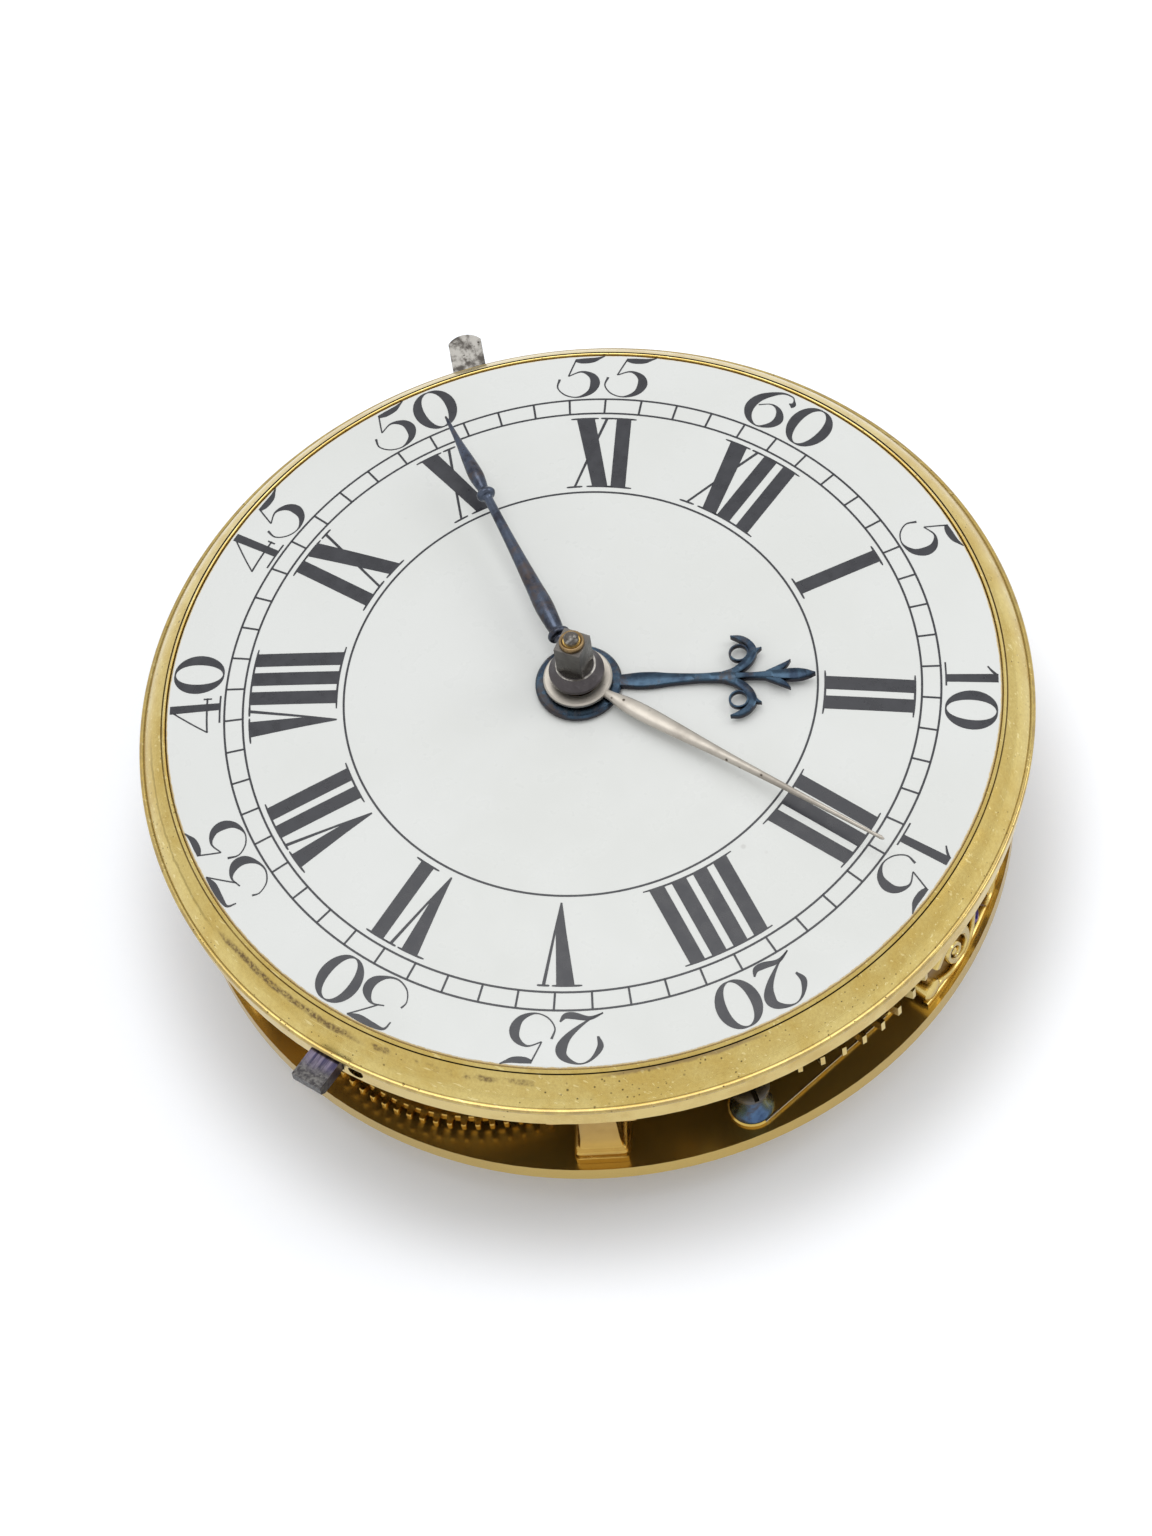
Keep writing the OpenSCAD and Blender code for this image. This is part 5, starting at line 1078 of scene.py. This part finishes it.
def make_stop_work():
    """Flat bar with rounded ends and bevelled edges along the plate, a bright line along its outer edge, and
    its screw: a tall blued collar, flared at its foot, under a domed and slotted steel head."""
    low, high = levels_mm("stop_bar")
    screw = middle_mm("stop_bar_screw")[:2]
    run = STOP_BAR_TIP - screw
    half = STOP_BAR_W / 2
    end = [(0, high), (half - STOP_BAR_BEVEL, high), (half, high - STOP_BAR_BEVEL), (half, low), (0, low)]
    bar = [(*(screw + run * t), STOP_BAR_W) for t in np.linspace(0, 1, 6)]
    grids = [turned(end, screw, 64), turned(end, STOP_BAR_TIP, 64), brush(bar, low, high - 0.004, 40, 0.1)]
    piece("stop_bar_plate", grids, GILT_MIRROR, "frame", ["stop_bar"])
    along = run / np.linalg.norm(run)
    out = np.array([along[1], -along[0]]) * (half - BAR_RIM_W / 2)
    rim = [(*(screw + run * t + out), BAR_RIM_W) for t in np.linspace(-0.02, 0.98, 6)]
    piece("stop_bar_edge", [brush(rim, low + 0.04, high + 0.01, 40, 0.4)], STEEL, "frame")
    collar = turned([(r, high + z) for r, z in COLLAR_ROWS], screw, 64)
    piece("stop_bar_screw_collar", [collar], BLUED, "frame", ["stop_bar_screw"])
    head = domed_screw(screw, high + COLLAR_TOP, **COLLAR_HEAD)
    piece("stop_bar_screw_head", head, SQUARE_STEEL, "frame")


SCROLL_R = 19.95
SCROLL_AT = 85.7
WALL_FROM, WALL_TO = -5.9, 2.95
WALL_FACE = -0.34
WALL_BACK = -1.08
WALL_BEVEL = 0.06
LOW_WALL_H = 0.4
RIBBON_LOW = WALL_FACE - 0.1
RIBBON_TOP = 0.02
RIBBON_STEP = 0.01
FOOT_STRIP_UP = 0.14
FOOT_STRIP_W = 0.26
FOOT_STRIP_TOP = -0.06

# Carved ribbons on the bracket's face: rows of (along the rim, height above the plate, width)
CONTOUR = [(-1.62, 2.75, 0.14), (-1.5, 1.85, 0.2), (-1.26, 0.95, 0.25), (-0.9, 0.46, 0.28), (-0.38, 0.2, 0.3),
           (0.3, 0.2, 0.3), (0.93, 0.34, 0.3), (1.42, 0.62, 0.3), (1.8, 0.84, 0.32), (2.3, 0.9, 0.4)]
VOLUTE = [(2.05, 2.4, 0.5), (1.5, 3.0, 0.58), (0.85, 3.2, 0.6), (0.12, 2.95, 0.58), (-0.5, 2.2, 0.52),
          (-0.72, 1.3, 0.46), (-0.5, 0.74, 0.42), (-0.05, 0.62, 0.4), (0.5, 0.88, 0.37), (0.98, 1.6, 0.34),
          (1.08, 2.2, 0.32), (0.86, 2.52, 0.3), (0.42, 2.35, 0.28), (0.12, 1.8, 0.26), (0.18, 1.36, 0.24),
          (0.46, 1.3, 0.21), (0.62, 1.62, 0.18)]
SMALL_VOLUTE = [(-2.95, 0.5, 0.1), (-3.3, 0.25, 0.24), (-3.9, 0.22, 0.3), (-4.45, 0.6, 0.3),
                (-4.5, 1.15, 0.28), (-4.05, 1.55, 0.26), (-3.55, 1.4, 0.24), (-3.42, 1.0, 0.2),
                (-3.7, 0.75, 0.16), (-3.95, 0.95, 0.12)]
END_CURL = [(-4.6, 0.25, 0.12), (-5.2, 0.18, 0.22), (-5.85, 0.3, 0.24), (-6.1, 0.75, 0.22),
            (-5.75, 1.1, 0.2), (-5.4, 0.85, 0.14), (-5.6, 0.6, 0.1)]
# Outline of the wall behind them: middle along the rim, height of the middle, radius
WALL_ROUNDS = np.array([(2.5, 0.9, 0.5), (1.6, 1.85, 1.0), (0.1, 1.75, 1.62), (-3.8, 0.98, 0.85),
                        (-5.6, 0.68, 0.55)])
# Round knobs: their middle, then rows of (radius, distance out)
KNOBS = [((2.45, 0.86), [(0.0, 0.05), (0.25, 0.04), (0.46, -0.02), (0.58, -0.12), (0.62, -0.26),
                         (0.62, -1.1)]),
         ((0.55, 1.8), [(0.0, 0.02), (0.12, 0.0), (0.2, -0.08), (0.2, RIBBON_LOW)])]


def make_scroll_bracket():
    """Carved wall on the rim with its face outwards. A point (along, up, out) lies at the clock angle
    SCROLL_AT + along / SCROLL_R, the radius SCROLL_R + out and the height up above the plate."""
    top = levels_mm("scroll_bracket")[0]

    def lay(x, y, z):
        a = np.radians(SCROLL_AT) + x / SCROLL_R
        return (SCROLL_R + z) * np.sin(a), (SCROLL_R + z) * np.cos(a), top + y

    x = np.linspace(WALL_FROM, WALL_TO, 160)
    at, rise, r = WALL_ROUNDS.T[..., None]
    reach = r**2 - (x - at)**2
    up = np.where(reach > 0, rise + np.sqrt(np.clip(reach, 0, None)), LOW_WALL_H).max(0)
    rows = [(0 * x, WALL_BACK), (0 * x, WALL_FACE), (up - WALL_BEVEL, WALL_FACE),
            (up, WALL_FACE - WALL_BEVEL), (up, WALL_BACK + WALL_BEVEL), (up - WALL_BEVEL, WALL_BACK)]
    wall = tube(np.stack([np.stack([x, y, d + 0 * x], -1) for y, d in rows], 1))
    grids = [brush(ribbon_rows, RIBBON_LOW, RIBBON_TOP - RIBBON_STEP * k, 10 * len(ribbon_rows), 0.45)
             for k, ribbon_rows in enumerate((VOLUTE, CONTOUR, SMALL_VOLUTE, END_CURL))]
    foot = [(v, FOOT_STRIP_UP, FOOT_STRIP_W) for v in np.linspace(WALL_FROM, WALL_TO, 30)]
    grids.append(brush(foot, RIBBON_LOW, FOOT_STRIP_TOP, 90, 0.4))
    a = full_turn(48)
    for middle, knob_rows in KNOBS:
        r, d = np.array(knob_rows).T[..., None]
        grids.append(tube(around(middle, r, a, d)))
    # The bracket's wall is painted dark as shade behind its brighter carved ribbons
    piece("scroll_bracket_wall", [moved(wall, lay)], GILT_CARVING_PAINTED_SHADE, "frame", ["scroll_bracket"])
    piece("scroll_bracket_carving", [moved(g, lay) for g in grids], GILT, "frame")


# Set-up wheel, chain and springs

SETUP_TEETH = 80
SETUP_AT = 300
POINTS_PER_TOOTH = 20
FINGER_H = 0.46
FINGER_HALF = 0.27
FINGER_BEVEL = 0.05
SETUP_RIM_W = 1.45
SETUP_HUB_R = (0.82, 2.2)
SPOKES = 5
SPOKE_OVERLAP = 0.2
SPOKE_END_W = 1.2
# Spoke's rows of (distance from the wheel's axis, width)
SPOKE = [(2.1, 1.3), (4.2, 0.9)]


def make_setup_wheel():
    """Thin wheel with finger-shaped teeth: outer radius = root + height (1 - (t / half)^4)^(1/2) across each
    pitch, where t is the distance from the tooth's middle as a share of the pitch."""
    low, high = box_mm("setup_wheel")
    z0, z1 = levels_mm("setup_wheel")
    c = middle_mm("setup_wheel")[:2]
    outer = (high[0] - low[0]) / 2
    a = full_turn(SETUP_TEETH * POINTS_PER_TOOTH)
    t = (a / TURN * SETUP_TEETH + 0.5) % 1.0 - 0.5
    finger = np.sqrt(np.clip(1 - (np.abs(t) / FINGER_HALF)**4, 0, 1))
    r_out = outer - FINGER_H + FINGER_H * finger
    r_in = outer - SETUP_RIM_W + 0 * a
    b = a + np.radians(90 - SETUP_AT)
    rows = [(r_out, z1 - FINGER_BEVEL), (r_out - FINGER_BEVEL, z1), (r_in, z1), (r_in, z0), (r_out, z0)]
    rim = np.stack([around(c, r, b, z) for r, z in rows], 1)
    hub_in, hub_out = SETUP_HUB_R
    hub = [(hub_in, z1), (hub_out, z1), (hub_out, z0), (hub_in, z0)]
    spoke = brush(on_axis([*SPOKE, (r_in[0] + SPOKE_OVERLAP, SPOKE_END_W)]), z0, z1, 20)
    grids = [grid(rim, close_u=True, close_v=True), turned(hub, c, 64)]
    grids += [turned_to(spoke, 360 / SPOKES * k, c) for k in range(SPOKES)]
    # The set-up wheel's gilding is painted darker as shade under the pillar plate
    piece("setup_wheel_fingers", grids, GILT_BETWEEN_PLATES_PAINTED_SHADE, "frame", ["setup_wheel"])


CHAIN_STEP = 0.62
CHAIN_T = 0.3
CHAIN_H = 0.55
CHAIN_LIFT = 0.12 + CHAIN_T / 2
CHAIN_TURNS = 1.1
CHAIN_TOP_GAP = 0.15
STEPS_PER_TURN = 24
LOOK_AHEAD = 0.1
WAIST_FROM = 0.3
WAIST = 0.72
FUSEE_SMALL_R = 2.2
FUSEE_CURVE = 0.8


def chain_path():
    """Middle line of the chain: turns on the fusee, a straight run, and turns on the barrel, 1 mm apart."""
    f_low, f_high = box_mm("fusee_cone")
    b_low, b_high = box_mm("barrel_drum")
    fusee, barrel = middle_mm("fusee_cone")[:2], middle_mm("barrel_drum")[:2]
    big_r, h = (f_high[0] - f_low[0]) / 2, f_high[2] - f_low[2]
    drum_r = (b_high[0] - b_low[0]) / 2 + CHAIN_LIFT
    turns = round(CHAIN_TURNS * STEPS_PER_TURN) / STEPS_PER_TURN
    cross_z = f_high[2] - CHAIN_H / 2 - CHAIN_TOP_GAP - CHAIN_TURNS

    def cone_r(z):
        share = (np.minimum(z + CHAIN_H / 2, f_high[2]) - f_low[2]) / h
        return FUSEE_SMALL_R + (big_r - FUSEE_SMALL_R) * share**FUSEE_CURVE + CHAIN_LIFT

    gap = fusee - barrel
    normal = np.arctan2(gap[1], gap[0]) - np.arccos((drum_r - cone_r(cross_z)) / np.hypot(*gap))
    t = np.linspace(turns, 0, 400)
    on_fusee = around(fusee, cone_r(cross_z + t), normal + TURN * t, cross_z + t)
    t = np.linspace(0, turns, 400)
    on_drum = around(barrel, drum_r, normal - TURN * t, cross_z - t)
    run = on_fusee[-1] + (on_drum[0] - on_fusee[-1]) * np.linspace(0, 1, 80)[1:-1, None]
    return np.vstack([on_fusee, run, on_drum])


def make_chain():
    """Links along the chain's middle line: two outer plates and one inner plate by turns, each a figure of
    two round eyes."""
    path = chain_path()
    along = np.concatenate([[0], np.cumsum(np.linalg.norm(np.diff(path, axis=0), axis=1))])
    count = int(along[-1] / CHAIN_STEP)
    s = (np.arange(count) + 0.5) * along[-1] / count
    before, at, after = (np.stack([np.interp(s + d, along, path[:, k]) for k in range(3)], 1)
                         for d in (-LOOK_AHEAD, 0.0, LOOK_AHEAD))
    t = (after - before) / np.linalg.norm(after - before, axis=1, keepdims=True)
    out = np.cross(t, [0, 0, 1.0])
    out /= np.linalg.norm(out, axis=1, keepdims=True)
    up = np.cross(out, t)
    a = full_turn(14)
    eye = CHAIN_T / 2
    at_eye = np.abs(np.cos(a)) > WAIST_FROM
    reach = CHAIN_STEP * 0.5 * np.sign(np.cos(a)) * at_eye
    across = eye * np.sin(a) * np.where(at_eye, 1.0, WAIST)
    figure = np.stack([reach + eye * np.cos(a), across], 1)
    outer = [(-CHAIN_H / 2, -CHAIN_H / 6), (CHAIN_H / 6, CHAIN_H / 2)]
    inner = [(-CHAIN_H / 7, CHAIN_H / 7)]
    grids = []
    for first, plates in ((0, outer), (1, inner)):
        for levels in plates:
            for q in range(first, count, 2):
                rows = [at[q] + t[q] * figure[:, :1] + out[q] * figure[:, 1:] + up[q] * z for z in levels]
                grids.append(tube(np.stack(rows, 0)))
    piece("fusee_chain_links", grids, GREY_STEEL, "frame", ["fusee_chain"])


COIL_PITCH = 0.62
MAINSPRING_T = 0.18
MAINSPRING_TURNS = 7.5
MAINSPRING_R = 1.5 + MAINSPRING_T
HAIRSPRING_T = 0.16
HAIRSPRING_TURNS = 5
HAIRSPRING_R = 1.25
HAIRSPRING_FROM = 200


def ribbon(centre, r0, turns, thick, levels, start):
    """Spiral strip on edge: radius r0 + pitch times the turns so far, of the given thickness and height."""
    t = np.linspace(0, turns, int(turns * 90))
    a = np.radians(start) + TURN * t
    r = r0 + COIL_PITCH * t
    low, high = levels
    rows = [(-thick / 2, low), (thick / 2, low), (thick / 2, high), (-thick / 2, high)]
    return tube(np.stack([around(centre, r + d, a, z) for d, z in rows], 1))


def make_springs():
    """Mainspring in its barrel and balance spring under the balance, each one unbroken strip."""
    strip = ribbon(middle_mm("barrel_drum")[:2], MAINSPRING_R, MAINSPRING_TURNS, MAINSPRING_T,
                   levels_mm("mainspring"), 0)
    piece("mainspring_strip", [strip], STEEL, "frame", ["mainspring"])
    strip = ribbon(middle_mm("balance_wheel")[:2], HAIRSPRING_R, HAIRSPRING_TURNS, HAIRSPRING_T,
                   levels_mm("balance_spring"), HAIRSPRING_FROM)
    piece("balance_spring_strip", [strip], BLUED, "frame", ["balance_spring"])


# Balance cock's ornament

RIDGE_UP = 0.16
RIDGE_H = 0.21
BORDER_RINGS = (7.22, 6.85, 1.75)
EYES = 8
EYE_D = 5.0
BEAD_D = 2.7
# Sections of the ridges: radius (of a border, its distance from the ring's middle), depth under the crest
BORDER_RIDGE = [(-0.13, RIDGE_H), (-0.09, 0.05), (0, 0), (0.09, 0.05), (0.13, RIDGE_H)]
EYE_RIDGE = [(1.27, RIDGE_H), (1.3, 0.04), (1.38, 0), (1.46, 0.04), (1.5, RIDGE_H)]
BEAD_RIDGE = [(0.62, RIDGE_H), (0.64, 0.05), (0.7, 0.02), (0.76, 0.05), (0.78, RIDGE_H)]
# Leaf from its root: rows of (sideways, outwards, width)
LEAF = [(0, 3.4, 0.24), (0.12, 4.2, 0.3), (0.2, 5.0, 0.26), (0.5, 5.6, 0.2), (0.8, 6.1, 0.06)]
TENDRIL_SIDE = 0.42
TENDRIL_D = 6.15
TENDRIL_TURN = 200
TENDRIL = {"r0": 0.06, "r1": 0.36, "turns": 1.4, "w0": 0.1, "w1": 0.16}


def spiral_path(centre, r0, r1, start, turns, w0, w1, hand):
    """Rows of (x, y, width) along a spiral that runs from radius r0 to r1, to one hand or the other."""
    t = np.linspace(0, 1, 70)
    a = np.radians(start) + hand * TURN * turns * t
    r = r0 + (r1 - r0) * t
    return around(centre, r, a, w0 + (w1 - w0) * t)


def make_cock_ornament():
    """Raised ornament on the cock's outer face: border rings, a ring round each piercing, and leafy scrolls
    between them, all as half-round ridges."""
    up = levels_mm("balance_cock")[0] - RIDGE_UP
    down = up + RIDGE_H
    c = middle_mm("balance_wheel")[:2]

    def spot(x, y, angle):
        return np.array(clock_xy(x, y, angle)) + c

    def ridge(rows, centre, segments, out=0.0):
        return turned([(out + r, up + depth) for r, depth in rows], centre, segments)

    grids = [ridge(BORDER_RIDGE, c, 144, r) for r in BORDER_RINGS]
    first = np.degrees(np.arctan2(c[0], c[1]))
    for k in range(EYES):
        angle = first + (k + 0.5) * 360 / EYES
        leafy = angle + 180 / EYES
        grids.append(ridge(EYE_RIDGE, spot(0, EYE_D, angle), 48))
        grids.append(ridge(BEAD_RIDGE, spot(0, BEAD_D, angle), 32))
        for hand in (-1, 1):
            middle = spot(hand * TENDRIL_SIDE, TENDRIL_D, leafy)
            tendril = spiral_path(middle, start=90 - leafy + TENDRIL_TURN * hand, hand=hand, **TENDRIL)
            leaf = [(*spot(hand * x, y, leafy), w) for x, y, w in LEAF]
            grids += [brush(tendril, down, up, 50, 0.4), brush(leaf, down, up, 40, 0.4)]
    piece("balance_cock_ornament", grids, GILT, "frame")


# Finish of the solids that stay as they are

FINISHES = [
    (GILT, "pillar_plate case_joint worm_brackets barrel_bar great_wheel centre_wheel third_wheel"),
    (GILT, "fourth_wheel escape_wheel potence balance_cock"),
    (GILT_MIRROR, "top_plate"),
    (BRASS, "pillar_pins dial_pins barrel_drum barrel_cover fusee_cone balance_wheel spring_stud"),
    (BRASS, "cannon_bush minute_wheel hour_wheel seconds_driver seconds_idler seconds_wheel"),
    (STEEL, "barrel_arbor setup_worm fusee_arbor third_pinion fourth_pinion escape_pinion balance_staff"),
    (STEEL, "regulator dial_studs bolt_spring"),
    (GREY_STEEL, "centre_arbor stop_lever"),
    (SQUARE_STEEL, "cannon_pinion"),
    (BOLT_STEEL, "bolt"),
    (GARNET, "endstone"),
    (BLUED, "bar_screws potence_screw cock_screw bolt_spring_screw stop_lever_screw"),
    # The bracket's screw: violet painted brighter as painted light
    (VIOLET_BLUED_PAINTED_LIGHT, "bracket_screw"),
]


def finish_solids():
    """Gives each carried-over solid its material."""
    for material, nodes in FINISHES:
        for node in nodes.split():
            mesh = NODES[node].data
            mesh.materials.clear()
            mesh.materials.append(material)


# Camera, floor and light

# The photograph's camera, solved from the minute track
CAMERA_AT = (87.587, -95.043, 204.225)
CAMERA_RIGHT = (0.82351, 0.55931, -0.0949)
CAMERA_UP = (-0.43902, 0.73425, 0.51782)
CAMERA_BACK = (0.3593, -0.38477, 0.85021)
FOCAL_PX = 5081.8
PHOTO_LONG_PX = 1536
SENSOR = 36.0
CLIP_M = (0.01, 10.0)

FLOOR_R = 3000
FLOOR_GAP = 0.01
FLOOR_COLOURS = ((239, 243, 250), (241, 245, 252))
# Floor's glow for the camera and mirrors, rising between two distances from the centre: a painted shadow
# round the movement that fades to white
FLOOR_PAINTED_SHADOW_GLOW = (0.1, 0.29)
FLOOR_PAINTED_SHADOW_R = (20.6, 25.4)
SKY_LIGHT = 0.66

# Lamps: name, place to the picture's right and up, height, side of the square, watts
LAMPS = [("key lamp", -40, 60, 440, 320, 0.62), ("side lamp", 330, 60, 280, 200, 0.3)]


def make_camera():
    """Camera at the photograph's place, with its focal length as a share of the long side."""
    data = bpy.data.cameras.new("camera")
    data.sensor_width = data.sensor_height = SENSOR
    data.sensor_fit = "AUTO"
    data.lens = FOCAL_PX / PHOTO_LONG_PX * SENSOR
    data.clip_start, data.clip_end = CLIP_M
    obj = add_object("camera", data)
    axes = Matrix((CAMERA_RIGHT, CAMERA_UP, CAMERA_BACK)).transposed()
    obj.matrix_world = Matrix.Translation(Vector(CAMERA_AT) * MM) @ axes.to_4x4()
    bpy.context.scene.camera = obj


def white_ray(shade):
    """1 for rays that show the background: straight to the camera, mirrored, or through glass."""
    path = shade.node("ShaderNodeLightPath").outputs
    both = shade.larger(path["Is Camera Ray"], path["Is Glossy Ray"])
    return shade.larger(both, path["Is Transmission Ray"])


def make_floor():
    """Wide white floor just under the lowest solid: it scatters light and keeps the shadow, and for the
    camera and mirrors it glows less near the movement than further out, a painted shadow that fades to white.
    """
    z = cad_bounds[0][2] / MM - FLOOR_GAP
    r = np.linspace(0, FLOOR_R, 4)[:, None]
    a = full_turn(48)
    p = around((0, 0), r, a, z)
    mesh = bpy.data.meshes.new("floor")
    mesh.from_pydata((p.reshape(-1, 3) * MM).tolist(), [], grid_faces(grid(p, close_v=True), 0))
    m, s, out = new_material("white floor", Roughness=0.9, Specular_IOR_Level=0.0)
    s.put(out["Base Color"], s.mix(s.noise(20.0), *FLOOR_COLOURS))
    s.put(out["Emission Color"], WHITE)
    # Painted shadow: the glow is weakest near the movement
    painted_shadow_glow = s.between(radius_mm(s), *FLOOR_PAINTED_SHADOW_R, *FLOOR_PAINTED_SHADOW_GLOW)
    s.put(out["Emission Strength"], s.times(white_ray(s), painted_shadow_glow))
    mesh.materials.append(m)
    floor = add_object("floor", mesh)


def make_sky():
    """White surroundings: full white where they are seen or mirrored, and softer as a source of light."""
    world = bpy.data.worlds.new("white room")
    world.use_nodes = True
    bpy.context.scene.world = world
    s = Shade(world.node_tree)
    back = world.node_tree.nodes["Background"]
    back.inputs["Color"].default_value = WHITE
    s.put(back.inputs["Strength"], s.between(white_ray(s), 0.0, 1.0, SKY_LIGHT, 1.0))


def make_lamp(name, right, up, height, size, power):
    """Square soft lamp placed by the picture's right and up on the floor, aimed at the centre."""
    flat_up = Vector((CAMERA_UP[0], CAMERA_UP[1], 0)).normalized()
    flat_right = Vector((CAMERA_RIGHT[0], CAMERA_RIGHT[1], 0)).normalized()
    at = (flat_right * right + flat_up * up + Vector((0, 0, height))) * MM
    data = bpy.data.lights.new(name, "AREA")
    data.shape = "SQUARE"
    data.size = size * MM
    data.energy = power
    obj = add_object(name, data)
    obj.matrix_world = Matrix.Translation(at) @ at.to_track_quat("Z", "Y").to_matrix().to_4x4()


def main():
    make_camera()
    make_floor()
    make_sky()
    for lamp in LAMPS:
        make_lamp(*lamp)
    make_dial()
    make_dial_paint()
    make_dial_ring()
    make_hour_hand()
    make_minute_hand()
    make_setting_tip()
    make_seconds_hand()
    make_pillars()
    make_stop_work()
    make_scroll_bracket()
    make_setup_wheel()
    make_chain()
    make_springs()
    make_cock_ornament()
    finish_solids()
    bpy.context.scene.view_settings.view_transform = "Standard"


main()
